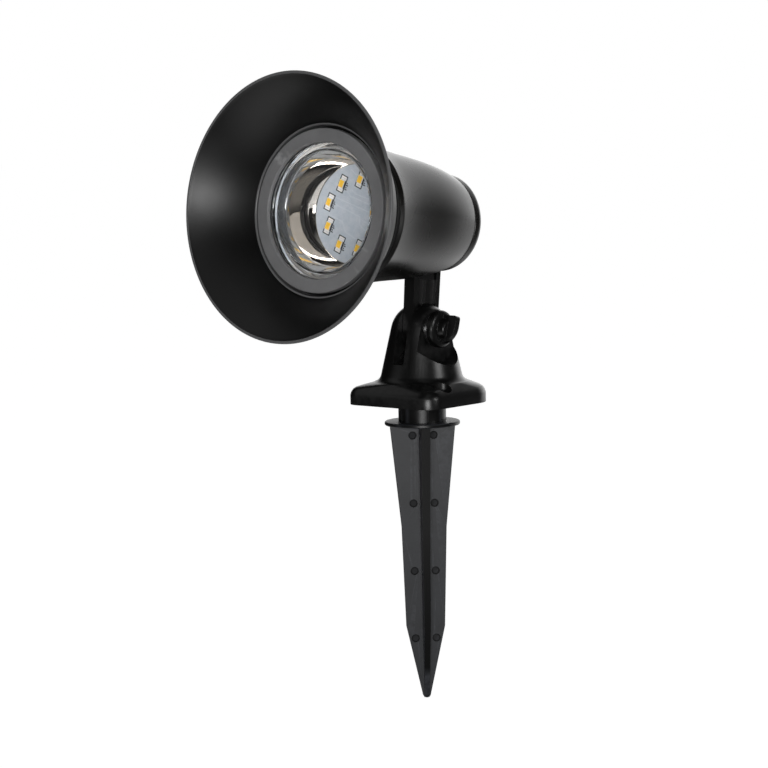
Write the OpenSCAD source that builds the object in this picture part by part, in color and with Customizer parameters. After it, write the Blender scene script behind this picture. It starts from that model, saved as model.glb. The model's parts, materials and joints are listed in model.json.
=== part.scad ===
// Garden spotlight: a flared head on a tilting arm, a clevis base and a ground spike.
// Millimetres, +Z up. The head faces -Y. The origin is the centre of the spike flange's
// top face, about where the soil comes to when the spike is pushed in.
// Head pieces are drawn along the head's axis, with s measured back from the rim plane.

/* [Shade] */
// Outer diameter of the shade's rim
rim_d = 126.6; // [112:0.2:136]
// Depth from the rim plane to the shade's inner lip
shade_depth = 24.4; // [20:0.2:30]
// Wall of the shade
shade_wall = 1.6; // [1.2:0.1:2.4]
// Width of the turned rim
rim_land = 1.6; // [1.2:0.1:3]
// Thickness of the rim from front to back
rim_t = 1.3; // [1.1:0.1:3]
// How far the flare bows inwards from a straight cone
flare_bow = 1.4; // [0:0.1:3]
// Gap between the bezel and the shade's lip
lip_gap = 1.5; // [1:0.1:3]
// Width of the lip's flat land
lip_land = 0.8; // [0.5:0.1:1.5]
// Thickness of the web that the bezel clamps
shade_web = 1.4; // [1:0.1:2]

/* [Bezel and lens] */
// How far the bezel's edge stands outside the threaded spigot
bezel_over = 5.4; // [4:0.1:8]
// How far the bezel's opening stands outside the lens skirt
bezel_bore_gap = 0.3; // [0:0.1:0.6]
// Thickness of the bezel's face
bezel_t = 2; // [1.5:0.1:3]
// How far the bezel stands in front of the shade's lip
bezel_proud = 0.9; // [0:0.1:2]
// Thickness of the bezel's threaded skirt
bezel_skirt = 2.4; // [1.8:0.1:2.8]
// Thickness of the lens window
lens_t = 2; // [1.5:0.1:3]
// Thickness of the lens flange
lens_flange_t = 1.4; // [1:0.1:1.8]
// Gap between the lens skirt and the neck's bore
lens_skirt_gap = 0.2; // [0.1:0.05:0.6]
// Wall of the lens skirt
lens_skirt_wall = 2.5; // [1.5:0.1:3]
// Length of the skirt behind the flange
lens_skirt_len = 8.1; // [6:0.1:9]
// Thickness of the gasket under the lens flange
gasket_t = 1; // [0.6:0.1:1.4]

/* [Reflector and light board] */
// Wall of the reflector
reflector_wall = 1; // [0.8:0.1:1.4]
// Depth of the reflector bowl
reflector_depth = 14; // [12:0.2:16]
// How far the bowl's floor covers the light board's edge
reflector_floor_land = 0.9; // [0.5:0.1:3]
// Distance from the carrier screws' circle in to the light board's edge
board_inset = 4.2; // [3.8:0.1:5]
// Thickness of the light board
board_t = 1.6; // [1:0.1:2]
// Number of light-emitting chips
led_count = 9; // [5:1:9]
// Diameter of the circle that the chips lie on
led_circle_d = 32.6; // [28:0.5:36]
// Width of a chip's package
led_w = 2.8; // [2:0.1:3.5]
// Length of a chip's package
led_len = 3.5; // [2.8:0.1:5]
// Height of a chip above the board
led_h = 0.8; // [0.5:0.1:1.2]
// Turn of the chips about the board's axis
led_turn = 22; // [0:1:45]
// Turn of the first chip's place on the circle
led_start = 81; // [60:1:120]
// Thickness of the board carrier
carrier_t = 1.8; // [1.4:0.1:2.5]

/* [Head shell] */
// Outer diameter of the neck that carries the shade
neck_d = 68; // [60:0.2:76]
// Length of the neck, from the shade to the shell's shoulder
neck_len = 11.5; // [9:0.1:14]
// How far the threaded spigot at the shell's front is stepped in from the neck
spigot_step = 0.6; // [0.5:0.05:0.9]
// Length of the threaded spigot
spigot_len = 2.7; // [2:0.1:4]
// Wall of the neck
neck_wall = 2; // [1.6:0.1:2.8]
// How far the shell's shoulder stands out from the neck
shoulder_step = 1.3; // [0.8:0.1:3]
// How far the shell's side has drawn in a third of the way back
shell_third_drop = 4; // [2:0.1:5]
// How far it has drawn in two thirds of the way back
shell_two_thirds_drop = 6.5; // [4:0.1:8]
// How far it has drawn in at the rear seam
shell_rear_drop = 11.4; // [8:0.1:13]
// Length of the shell behind its shoulder
shell_len = 68.8; // [66:0.2:76]
// Wall of the shell
shell_wall = 2.2; // [1.6:0.1:2.6]
// Width of the shell's rear face, round the opening that the rear cap plugs
rear_land = 3.3; // [3:0.1:4.5]
// Length of the rear cap that shows
cap_len = 8.4; // [7.6:0.1:10]
// Length of the rear cap's rounded edge
cap_round_len = 5.8; // [4:0.1:6.4]
// How far that edge is rounded in
cap_round_r = 7.5; // [3:0.1:8]
// Length of the plug on the rear cap
plug_len = 2.9; // [2.6:0.1:4]
// Wall of the rear cap
cap_wall = 2.6; // [2:0.1:3]
// Distance from the rear opening's edge in to the cap's screws
cap_screw_inset = 4.1; // [4:0.1:5]

/* [Cell and electronics] */
// Diameter of the rechargeable cell
cell_d = 14.2; // [13.8:0.1:14.6]
// Length of the rechargeable cell
cell_len = 50; // [44:0.5:50]
// Wall of the cell cradle
cradle_wall = 1.8; // [1.4:0.1:2.4]
// Width of the control board
control_w = 26; // [22:0.5:28]
// Length of the control board
control_len = 42; // [38:0.5:44]
// Height of the control board above the head's axis
control_h = 11.4; // [10.5:0.1:12]
// Diameter of a lead inside the head
lead_d = 1.3; // [1:0.1:1.5]
// Diameter of the panel inlet's barrel
inlet_d = 8; // [7:0.2:9]

/* [Arm and tilt] */
// Height of the tilt axis above the flange
pivot_h = 45.6; // [44:0.2:50]
// Distance from the tilt axis up to the head's axis
arm_len = 52.3; // [50:0.2:60]
// Gap between the arm's seat in the shell and the rear cap's plug
arm_room = 0.15; // [0.1:0.05:10]
// Upward tilt of the head at rest, in degrees
tilt_rest = 6.5; // [0:0.5:20]
// Thickness of the arm
arm_t = 6.2; // [5:0.1:7]
// Depth of the arm in front of the tilt axis
arm_front = 10.1; // [8:0.1:11]
// Depth of the arm behind the tilt axis
arm_rear = 9.3; // [8:0.1:10]
// How far the arm's front edge leans forward at the top
arm_flare = 1.5; // [0:0.1:2.5]
// Width of the arm's ribs
arm_rib = 2.8; // [2:0.1:3.2]
// Depth of the pockets between the ribs
arm_pocket = 2; // [1:0.1:2.2]

/* [Base] */
// Distance from a wall-screw hole out to the plate's side
hole_edge = 4.4; // [4.4:0.1:9]
// Radius of the plate's two front corners
plate_front_r = 8.6; // [8:0.2:12]
// Radius of the plate's two back corners
plate_back_r = 17.6; // [10:0.2:20]
// Height of the plate's underside above the flange
plate_z = 9.1; // [6:0.1:12]
// Thickness of the plate at its edge
plate_t = 8.2; // [7:0.1:10]
// Radius of the pedestal where it leaves the plate
pedestal_r = 20.6; // [19:0.1:22]
// Radius of the fillet round the pedestal's foot
fillet_r = 4.5; // [3:0.1:6]
// Radius of the domed ears
dome_r = 14.8; // [14:0.1:16]
// Height of the pivot above the centre of the dome
dome_drop = 2.3; // [1:0.1:3]
// Width of the slot between the ears
slot_w = 6.6; // [6.4:0.1:7.6]
// Depth of the slot below the tilt axis
slot_depth = 16.6; // [15:0.1:17]
// Distance from the middle to the ear's outer flat
ear_flat = 9; // [8:0.1:10]
// Radius of the scoop that the wing knob turns in
scoop_r = 17.5; // [16:0.1:18.5]
// Distance between the two wall-screw holes
screw_spacing = 46; // [44:0.2:46.4]
// How far the wall-screw holes lie in front of the middle
screw_front = 11.9; // [10:0.1:14]
// Diameter of a wall-screw hole
screw_hole_d = 4.5; // [4:0.1:5]
// Width of the countersink's mouth
screw_mouth_d = 8.6; // [7.6:0.1:8.8]

/* [Clamp] */
// Diameter of the clamp bolt
bolt_d = 5; // [4:0.1:6]
// Width across flats of the bolt's head and the knob's nut
hex_af = 8; // [7.5:0.1:9]
// Thickness of the bolt's head
bolt_head_t = 3.5; // [3:0.1:4]
// Thickness of the washer under the knob
washer_t = 1; // [0.6:0.1:1.6]
// Diameter of the knob's hub
knob_d = 18.3; // [16:0.1:20]
// Thickness of the knob's hub
knob_t = 4.2; // [4:0.1:6]
// Height of the knob's wing
wing_h = 13.6; // [12:0.1:16]
// How far the wing stands out of the hub
wing_out = 8; // [7:0.1:10]
// Radius of the sweep at the wing's lower corner
wing_sweep_r = 9; // [8.6:0.1:12]
// Thickness of the wing
wing_t = 3.2; // [2.4:0.1:4]
// Lean of the wing from upright at rest, in degrees
wing_lean = 15; // [0:1:45]

/* [Spike] */
// Diameter of the spigot that the base turns on
spike_spigot_d = 23.4; // [22:0.1:25]
// Height of the spigot above the flange
spike_spigot_h = 23.8; // [20:0.1:24]
// Diameter of the spike's flange
flange_d = 37; // [34:0.5:42]
// Thickness of the spike's flange
flange_t = 1.8; // [1.4:0.1:3]
// Length of the spike below the top of its flange
spike_len = 138; // [120:1:180]
// Half-width of the blades at the top
blade_top = 16; // [14:0.1:17]
// Half-width of the blades a little above the middle
blade_mid = 11; // [9:0.1:13]
// Half-width of the blades where the point begins
blade_low = 9.5; // [7:0.1:11]
// Length of the spike's point
point_len = 36; // [30:1:50]
// Thickness of a blade at the top
blade_t_top = 4.4; // [3.4:0.1:6]
// Thickness of a blade where the point begins
blade_t = 3; // [2.4:0.1:3.4]
// Turn of the blades about the spike's axis, in degrees
blade_turn = 45; // [0:1:45]

/* [Fits] */
// Radial clearance of a running or threaded fit
fit = 0.05; // [0.03:0.01:0.08]
// Clearance between pieces that are slid together
slip = 0.1; // [0.05:0.01:0.15]

/* [Hidden] */
$fn = 96;
eps = 0.01;

// Places along the head's axis, s from the rim plane
bezel_s = shade_depth - bezel_proud;
lens_s = bezel_s + bezel_t + slip;
gasket_s = lens_s + lens_flange_t + fit;
spigot_s = gasket_s + gasket_t;
neck_s = spigot_s + spigot_len;
web_s = neck_s - shade_web - fit;
shoulder_s = neck_s + neck_len + 1.4;
seal_t = 1.7;
seal_s = neck_s + neck_len - seal_t - 0.5;
rear_s = shoulder_s + shell_len;
cap_s = rear_s + slip;
end_s = cap_s + cap_len;
mouth_s = gasket_s - fit + lens_skirt_len + slip;
floor_s = mouth_s + reflector_depth;
board_s = floor_s + 0.2;
carrier_s = board_s + board_t + slip;
lug_s = carrier_s + carrier_t + fit;
cradle_s = lug_s;
cell_s = cradle_s + 3.4;
cell_end_s = cell_s + cell_len;
plug_s = cap_s - plug_len;
cap_floor_s = end_s - cap_wall;
cap_seat_s = end_s - 5;
seat_wall = 0.8;
tongue_front = 8;
tongue_rear = 4.4;
arm_back = plug_s - arm_room - seat_wall - tongue_rear;
ring_s = plug_s - 2.6;
boss_s = plug_s - 8.6;
contact_room = 0.5;
cradle_len = cell_end_s + contact_room + 1.5 - cradle_s;
control_s = boss_s - 0.3 - control_len;
header_len = 4.6;
inlet_s = cap_floor_s - 3.8;
inlet_end_s = end_s + 3.4;

// Radii about the head's axis
rim_r = rim_d / 2;
flare_r = rim_r - rim_land;
neck_r = neck_d / 2;
neck_bore_r = neck_r - neck_wall;
seal_groove_r = neck_r - 0.9;
spigot_r = neck_r - spigot_step;
bezel_r = spigot_r + bezel_over;
lip_r = bezel_r + lip_gap;
sleeve_r = lip_r + lip_land + 0.6;
lens_r = spigot_r - 2 * fit;
lens_skirt_r = neck_bore_r - lens_skirt_gap;
bezel_bore_r = lens_skirt_r + bezel_bore_gap;
mouth_r = lens_skirt_r - reflector_wall;
carrier_r = neck_bore_r - 1.5;
lug_r = carrier_r - 2.3;
board_r = lug_r - board_inset;
shoulder_r = neck_r + shoulder_step;
rear_r = shoulder_r - shell_rear_drop;
rear_bore_r = rear_r - rear_land;
plug_r = rear_bore_r - slip;
cap_screw_r = rear_bore_r - cap_screw_inset;

// Places across the head's axis
lead_x = 1.5;
lead_gap = 0.1;
lead_stub = 0.6;
lead_hole_r = lead_d / 2 + 0.5;
light_lead_up = 11;
foot_t = 2.4;
foot_w = 12;
foot_front = 5.4;
tongue_t = 9;
boss_wall = 7;
header_w = 6.2;
header_h = 4.4;
arm_screw_x = 3.4;
arm_screw_y = -12;

// Base, from the flange's top face
plate_half = screw_spacing / 2 + hole_edge;
plate_top = plate_z + plate_t;
shelf_z = plate_top + 2.4;
dome_z = pivot_h - dome_drop;
slot_z = pivot_h - slot_depth;
socket_r = spike_spigot_d / 2 + fit;
socket_top = plate_z + 14.9;
bolt_r = bolt_d / 2;
bolt_bore_r = bolt_r + fit;
washer_x = ear_flat + 0.02;
knob_x = washer_x + washer_t + 0.05;
wing_x = knob_x + knob_t;
bolt_end = wing_x + 1.2;
nut_t = 4.4;

// Small screws: shank and head
screw_r = 1.5;
screw_head_r = 2.2;
screw_head_t = 1.6;
pilot_r = screw_r + fit;
trough_r = cell_d / 2 + 0.15;
cradle_r = trough_r + cradle_wall;
cradle_screw_x = cradle_r + screw_head_r + slip;

black = "#1d1e20";
dark_grey = "#3b3c3f";

// Outer radius of the shell: one cubic curve through four stated diameters
station = [for (i = [0:3]) shoulder_s + shell_len * i / 3];
station_r = [shoulder_r, shoulder_r - shell_third_drop, shoulder_r - shell_two_thirds_drop, rear_r];
function basis(i, s) = (s - station[(i + 1) % 4]) / (station[i] - station[(i + 1) % 4])
    * (s - station[(i + 2) % 4]) / (station[i] - station[(i + 2) % 4])
    * (s - station[(i + 3) % 4]) / (station[i] - station[(i + 3) % 4]);
function shell_r(s) = station_r[0] * basis(0, s) + station_r[1] * basis(1, s)
    + station_r[2] * basis(2, s) + station_r[3] * basis(3, s);
pad_rise = 4.5;
pad_down = shell_r(arm_back) - shell_wall - pad_rise;
shell_steps = 24;
function shell_at(i) = shoulder_s + shell_len * i / shell_steps;

// The shade's inner face from the lip (t = 0) to the rim (t = 1), moved out along its normal
flare_in = [lip_r + lip_land, shade_depth];
flare_out = [flare_r, rim_t * 0.3];
flare_run = flare_out - flare_in;
flare_normal = [-flare_run[1], flare_run[0]] / norm(flare_run);
flare_steps = 14;
function flare(t, out) = flare_in + flare_run * t + flare_normal * (out - 4 * flare_bow * t * (1 - t));

// A smooth lead between two points, each left along its own direction
function bezier(a, b, c, d, t) = a * pow(1 - t, 3) + 3 * b * t * pow(1 - t, 2)
    + 3 * c * t * t * (1 - t) + d * pow(t, 3);

// Puts a head piece where the tilted head holds it
module head_pose() {
    translate([0, 0, pivot_h]) rotate([-tilt_rest, 0, 0]) children();
}

// Draws along the head's axis: z runs back from the rim plane, x stays x, y points down
module along_axis(s = 0) {
    head_pose() translate([0, s - arm_back, arm_len]) rotate([-90, 0, 0]) children();
}

module turned(points) {
    rotate_extrude() polygon(points);
}

module hex_prism(af, h) {
    cylinder(r = af / sqrt(3), h = h, $fn = 6);
}

// A pan-head screw with its head on z = 0 and its shank running down
module pan_screw(length) {
    turned([[0, -length], [screw_r * 0.5, -length], [screw_r, -length + 1.2], [screw_r, 0],
        [screw_head_r, 0], [screw_head_r, screw_head_t * 0.55], [screw_head_r - 0.7, screw_head_t],
        [0, screw_head_t]]);
}

module screw_with_slot(length) {
    difference() {
        pan_screw(length);
        for (a = [0, 90]) rotate(a)
            translate([-1.3, -0.25, screw_head_t - 0.8]) cube([2.6, 0.5, 2]);
    }
}

module around(count, start = 0) {
    for (i = [0:count - 1]) rotate(start + i * 360 / count) children();
}

// A tube of n sides along a path; side is any direction that the path never takes
module tube(path, side, diameter, n = 6) {
    last = len(path) - 1;
    rings = [for (i = [0:last]) let (run = path[min(i + 1, last)] - path[max(i - 1, 0)],
            u = cross(run, side) / norm(cross(run, side)), v = cross(run, u) / norm(run))
        for (k = [0:n - 1]) path[i] + diameter / 2 * (cos(k * 360 / n) * u + sin(k * 360 / n) * v)];
    walls = [for (i = [0:last - 1], k = [0:n - 1]) let (p = i * n + k, q = i * n + (k + 1) % n)
        each [[p, q, p + n], [q, q + n, p + n]]];
    ends = [for (k = [1:n - 2]) each [[0, k + 1, k], [last * n, last * n + k, last * n + k + 1]]];
    polyhedron(points = rings, faces = concat(walls, ends), convexity = 4);
}

// A lead leaves its two ends square to them, along a short straight stub
module lead(a, b, c, d) {
    out = lead_stub * (b - a) / norm(b - a);
    back = lead_stub * (c - d) / norm(c - d);
    tube([a, for (i = [0:12]) bezier(a + out, b, c, d + back, i / 12), d], [1, 0.2, 0.1], lead_d);
}

module shade() {
    color(black) along_axis() turned(concat(
        [[spigot_r + slip, web_s], [lip_r, web_s], [lip_r, shade_depth + 0.3], [lip_r + 0.3, shade_depth]],
        [for (i = [0:flare_steps]) flare(i / flare_steps, 0)],
        [[flare_r + 0.3, 0], [rim_r - 0.4, 0], [rim_r, 0.4], [rim_r, rim_t - 0.4], [rim_r - 0.4, rim_t]],
        [for (i = [flare_steps - 1:-1:1]) flare(i / flare_steps, shade_wall)],
        [[sleeve_r, shade_depth + shade_wall + 0.4], [sleeve_r, web_s + shade_web - 0.4],
        [sleeve_r - 0.4, web_s + shade_web], [spigot_r + slip, web_s + shade_web]]));
}

module bezel_ring() {
    bore = bezel_bore_r;
    skirt_r = spigot_r + fit;
    back = bezel_s + bezel_t;
    color(dark_grey) along_axis() turned([[bore + 0.4, bezel_s], [bezel_r - 0.6, bezel_s],
        [bezel_r - 0.18, bezel_s + 0.18], [bezel_r, bezel_s + 0.6], [bezel_r, back + 1.6],
        [bezel_r - 1.2, back + 1.6], [bezel_r - 1.2, back], [skirt_r + bezel_skirt, back],
        [skirt_r + bezel_skirt, web_s - fit], [skirt_r, web_s - fit], [skirt_r, back],
        [bore, back], [bore, bezel_s + 0.4]]);
}

module lens() {
    inner = lens_skirt_r - lens_skirt_wall;
    flange_end = lens_s + lens_flange_t;
    color("gainsboro", 0.4) along_axis() turned([[0, lens_s], [lens_r, lens_s], [lens_r, flange_end],
        [lens_skirt_r, flange_end], [lens_skirt_r, mouth_s - slip], [inner, mouth_s - slip],
        [inner, lens_s + lens_t + 1], [inner - 0.3, lens_s + lens_t + 0.3],
        [inner - 1, lens_s + lens_t], [0, lens_s + lens_t]]);
}

module lens_gasket() {
    color("#101010") along_axis(gasket_s) difference() {
        cylinder(r = lens_r, h = gasket_t - fit);
        translate([0, 0, -1]) cylinder(r = neck_bore_r, h = gasket_t + 2);
    }
}

// The bowl curves from its floor opening out to the mouth, as a quarter of an ellipse
reflector_floor_r = board_r - reflector_floor_land;
bowl_w = mouth_r - reflector_floor_r;
bowl_steps = 12;
function bowl(i, out) = let (a = 90 * i / bowl_steps, n = [reflector_depth * sin(a), bowl_w * cos(a)])
    [reflector_floor_r + bowl_w * sin(a), floor_s - reflector_depth * (1 - cos(a))] + n / norm(n) * out;

module reflector() {
    sleeve_in = board_r + slip;
    sleeve_out = sleeve_in + reflector_wall;
    color("silver") along_axis() turned(concat([for (i = [0:bowl_steps]) bowl(i, 0)],
        [for (i = [bowl_steps:-1:3]) bowl(i, reflector_wall)],
        [[sleeve_out, floor_s + 0.8], [sleeve_out, carrier_s - fit], [sleeve_in, carrier_s - fit],
        [sleeve_in, floor_s + slip], [reflector_floor_r, floor_s + slip]]));
}

module led_board() {
    color("lightsteelblue") along_axis(board_s) cylinder(r = board_r, h = board_t);
}

module at_leds() {
    for (i = [0:led_count - 1])
        rotate(-led_start - i * 360 / led_count) translate([led_circle_d / 2, 0, 0])
            rotate(led_start + i * 360 / led_count + led_turn) children();
}

module led_packages() {
    window_w = led_w - 0.7;
    window_len = led_len - 0.8;
    color("white") along_axis(board_s - led_h) at_leds() difference() {
        translate([-led_w / 2, -led_len / 2, 0]) cube([led_w, led_len, led_h]);
        translate([-window_w / 2, -window_len / 2, -1]) cube([window_w, window_len, 1 + led_h * 0.5]);
    }
}

module led_windows() {
    window_w = led_w - 0.7 - 0.02;
    window_len = led_len - 0.8 - 0.02;
    color("orange") along_axis(board_s - led_h + 0.02) at_leds()
        translate([-window_w / 2, -window_len / 2, 0]) cube([window_w, window_len, led_h * 0.5 - 0.03]);
}

module board_carrier() {
    color("whitesmoke") along_axis(carrier_s) difference() {
        cylinder(r = carrier_r, h = carrier_t);
        around(3, 90) translate([lug_r, 0, -1]) cylinder(r = pilot_r, h = carrier_t + 2);
        for (x = [-1, 1]) {
            translate([x * cradle_screw_x, 0, -1]) cylinder(r = pilot_r, h = carrier_t + 2);
            translate([x * lead_x, -light_lead_up, -1]) cylinder(r = lead_hole_r, h = carrier_t + 2);
        }
    }
}

module carrier_screws() {
    color("silver") along_axis(carrier_s - 0.02) around(3, 90)
        translate([lug_r, 0, 0]) rotate([180, 0, 0]) screw_with_slot(carrier_t + 3.6);
}

module neck_seal() {
    color("#141414") along_axis(seal_s + fit) difference() {
        cylinder(r = neck_r + 0.35, h = seal_t - 2 * fit);
        translate([0, 0, -1]) cylinder(r = seal_groove_r + fit, h = seal_t + 2);
    }
}

module shell_outside(grow) {
    turned(concat([[0, shoulder_s]],
        [for (i = [0:shell_steps]) [shell_r(shell_at(i)) + grow, shell_at(i)]],
        [[rear_r + grow, end_s + 1], [0, end_s + 1]]));
}

module head_shell() {
    inner = [for (i = [shell_steps:-1:0])
        let (s = shell_at(i), r = shell_r(s) - shell_wall)
        if (s < ring_s - 1 && r < neck_bore_r) [r, s]];
    color(black) difference() {
        union() {
            along_axis() turned(concat(
                [[neck_bore_r, spigot_s], [spigot_r - 0.3, spigot_s], [spigot_r, spigot_s + 0.3],
                [spigot_r, neck_s], [neck_r, neck_s], [neck_r, seal_s], [seal_groove_r, seal_s],
                [seal_groove_r, seal_s + seal_t], [neck_r, seal_s + seal_t], [neck_r, neck_s + neck_len]],
                [for (i = [0:shell_steps - 1]) [shell_r(shell_at(i)), shell_at(i)]],
                [[rear_r + 0.08, rear_s - 0.3], [rear_r - 0.2, rear_s], [rear_bore_r, rear_s],
                [rear_bore_r, ring_s]], inner,
                [[neck_bore_r, inner[len(inner) - 1][1] - 1]]));
            intersection() {
                along_axis() shell_outside(-shell_wall / 2);
                union() {
                    along_axis(lug_s) around(3, 90)
                        translate([lug_r - 2.6, -2.6, 0]) cube([10, 5.2, 4.6]);
                    along_axis(boss_s) around(3, -90) {
                        translate([cap_screw_r, 0, 0]) cylinder(r = 3, h = plug_s - slip - boss_s);
                        translate([cap_screw_r, -1.6, 0]) cube([12, 3.2, plug_s - slip - boss_s]);
                    }
                    head_pose() translate([-8, -arm_front - 6, arm_len - pad_down - 14])
                        cube([16, arm_front + 6 + tongue_rear + seat_wall, 14]);
                }
            }
        }
        along_axis(lug_s - 1) around(3, 90) translate([lug_r, 0, 0]) cylinder(r = pilot_r, h = 5);
        along_axis(boss_s + 1) around(3, -90)
            translate([cap_screw_r, 0, 0]) cylinder(r = pilot_r, h = 12);
        head_pose() {
            translate([-arm_t / 2 - slip, -tongue_front - slip, arm_len - 40])
                cube([arm_t + 2 * slip, tongue_front + tongue_rear + 2 * slip, 40 - pad_down + 5]);
            for (x = [-1, 1]) translate([x * arm_screw_x, arm_screw_y, arm_len - pad_down - 6.5])
                cylinder(r = pilot_r, h = 10);
        }
    }
}

module cell_cradle() {
    top = control_h - fit;
    color("whitesmoke") along_axis(cradle_s) difference() {
        union() {
            cylinder(r = cradle_r, h = cradle_len);
            translate([-cradle_screw_x - 3, -5, 0]) cube([2 * cradle_screw_x + 6, 10, 1.2]);
            for (s = [8, 40]) translate([-cradle_r, -top, s]) cube([2 * cradle_r, top, 5]);
        }
        translate([0, 0, 1.2]) cylinder(r = trough_r, h = cell_end_s - cradle_s - 1.2 + contact_room);
        translate([-trough_r, -top - 1, 1.2])
            cube([2 * trough_r, top + 1, cell_end_s - cradle_s - 1.2 + contact_room]);
        translate([-20, -top - 1, -1]) cube([40, top - 4, 9]);
        translate([-20, -top - 1, 45]) cube([40, top - 3, 40]);
        translate([-20, -top - 1, 13]) cube([40, top + 1, 27]);
        for (x = [-1, 1]) translate([x * cradle_screw_x, 0, -1]) cylinder(r = pilot_r, h = 4);
    }
}

module cradle_screws() {
    color("silver") along_axis(cradle_s + 1.22) for (x = [-1, 1])
        translate([x * cradle_screw_x, 0, 0]) screw_with_slot(1.2 + carrier_t);
}

module battery_cell() {
    r = cell_d / 2;
    button_r = 2.7;
    color("seagreen") along_axis(cell_s) turned([[0, 0], [r - 0.5, 0], [r, 0.5], [r, cell_len - 2],
        [r - 0.6, cell_len - 1.4], [button_r, cell_len - 1.4], [button_r, cell_len], [0, cell_len]]);
}

module cell_spring() {
    turns = 3;
    steps = 14 * turns;
    wire = 0.6;
    color("silver") along_axis(cradle_s + 1.2 + 0.03)
        tube([for (i = [0:steps]) let (a = 360 * turns * i / steps, r = 5 - 2.4 * i / steps)
            [r * cos(a), r * sin(a), wire / 2 + (2.2 - 0.1 - wire) * i / steps]], [0, 0, 1], wire);
}

module cell_contact() {
    color("silver") along_axis(cell_end_s + 0.05)
        translate([-4, -4.4, 0]) cube([8, 8.4, contact_room - 0.1]);
}

module control_board() {
    color("darkgreen") along_axis(control_s)
        translate([-control_w / 2, -control_h - 1.6, 0]) cube([control_w, 1.6, control_len]);
}

// Lies on the control board: x across, s along, drawn standing up from the board
module on_board(x, s) {
    along_axis() translate([x, -control_h - 1.62, control_s + s]) rotate([90, 0, 0]) children();
}

module driver_chip() {
    color("#202020") on_board(-3, 20) {
        translate([-2, -2.5, 0.2]) cube([4, 5, 1.5]);
        for (x = [-1, 1], z = [-1.9:1.27:1.95]) translate([x * 2.5 - 0.5, z - 0.2, 0]) cube([1, 0.4, 0.6]);
    }
}

module inductor() {
    color("#303030") on_board(6, 15) {
        cylinder(r = 3.4, h = 0.8);
        cylinder(r = 2.4, h = 3.6);
        translate([0, 0, 2.8]) cylinder(r = 3.4, h = 0.8);
    }
}

module capacitor() {
    color("#26344f") on_board(5, 26) turned([[0, 0], [3, 0], [3, 1.2], [2.8, 1.5], [3, 1.8], [3, 5.8],
        [2.6, 6.2], [0, 6.2]]);
}

module lead_headers() {
    color("ivory") {
        on_board(0, header_len / 2) header();
        for (x = [-1, 1]) on_board(x * 8, control_len - header_len / 2) header();
    }
}

module header() {
    translate([-header_w / 2, -header_len / 2, 0]) cube([header_w, header_len, header_h]);
}

module light_leads() {
    far = [0, -control_h - 1.62 - 2.4, control_s - lead_gap];
    color("firebrick") along_axis() for (x = [-1, 1]) {
        start = [x * lead_x, -light_lead_up, board_s + board_t + lead_gap];
        lead(start, start + [0, 0, 4], far + [x * 1.2, 0, -4], far + [x * 1.2, 0, 0]);
    }
}

module cell_leads() {
    far = [-8, -control_h - 1.62 - 2.4, control_s + control_len + lead_gap];
    color("#202020") along_axis() {
        from_contact = [-2.4, -4.4 - lead_d / 2, cell_end_s + 0.4];
        lead(from_contact, from_contact + [0, -3, 0.6], far + [-1.2, 0, 4], far + [-1.2, 0, 0]);
        start = [-7.4, -5.6, cradle_s + 1.9];
        under = [-11.4, -control_h + 0.02, control_s + 3];
        lead(start, start + [-1.2, -1, 3], under + [0, 4.5, 0], under);
    }
}

module panel_leads() {
    far = [8, -control_h - 1.62 - 2.4, control_s + control_len + lead_gap];
    color("royalblue") along_axis() for (x = [-1, 1]) {
        start = [x * 1.6, 0, inlet_s - lead_gap];
        lead(start, start + [0, 0, -1.6], far + [x * 1.2, 0, 6], far + [x * 1.2, 0, 0]);
    }
}

module rear_cap() {
    pocket_r = cap_screw_r - screw_head_r - 1.3;
    round_s = end_s - cap_round_len;
    color(black) along_axis() difference() {
        turned(concat([[pocket_r, plug_s], [plug_r, plug_s], [plug_r, plug_s + 0.8], [plug_r - 1, plug_s + 0.8],
            [plug_r - 1, plug_s + 2], [plug_r, plug_s + 2], [plug_r, cap_s], [rear_r - 0.25, cap_s],
            [rear_r, cap_s + 0.25]],
            [for (a = [0:10:90]) [rear_r - cap_round_r * (1 - cos(a)), round_s + cap_round_len * sin(a)]],
            [[0, end_s], [0, cap_floor_s], [pocket_r, cap_floor_s]]));
        around(3, -90) translate([cap_screw_r, 0, plug_s - 1]) cylinder(r = pilot_r, h = 20);
        around(3, -90) translate([cap_screw_r, 0, cap_seat_s])
            cylinder(r = screw_head_r + 0.25, h = 20);
        translate([0, 0, cap_floor_s - 1]) cylinder(r = inlet_d / 2 + fit, h = 10);
    }
}

module cap_seal() {
    color("#101010") along_axis(plug_s + 0.85) difference() {
        cylinder(r = rear_bore_r - 0.02, h = 1.1);
        translate([0, 0, -1]) cylinder(r = plug_r - 1 + 0.02, h = 4);
    }
}

module cap_screws() {
    color("silver") along_axis(cap_seat_s + 0.02) around(3, -90)
        translate([cap_screw_r, 0, 0]) screw_with_slot(cap_seat_s - plug_s + 5);
}

module panel_inlet() {
    flange_s = end_s + 0.82;
    r = inlet_d / 2;
    color("#2a2a2c") along_axis() difference() {
        turned([[0, inlet_s], [r, inlet_s], [r, flange_s], [r + 2.2, flange_s], [r + 2.2, flange_s + 0.9],
            [r + 1.8, flange_s + 1.3], [r, flange_s + 1.3], [r, inlet_end_s - 0.4],
            [r - 0.4, inlet_end_s], [0, inlet_end_s]]);
        translate([0, 0, inlet_end_s - 8]) cylinder(r = 2.75, h = 9);
        translate([0, 0, inlet_end_s - 9.4]) cylinder(r = 1.02, h = 3);
    }
}

module inlet_pin() {
    color("goldenrod") along_axis(inlet_end_s - 9.38) turned([[0, 0], [1, 0], [1, 7.4], [0.6, 8], [0, 8]]);
}

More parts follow.
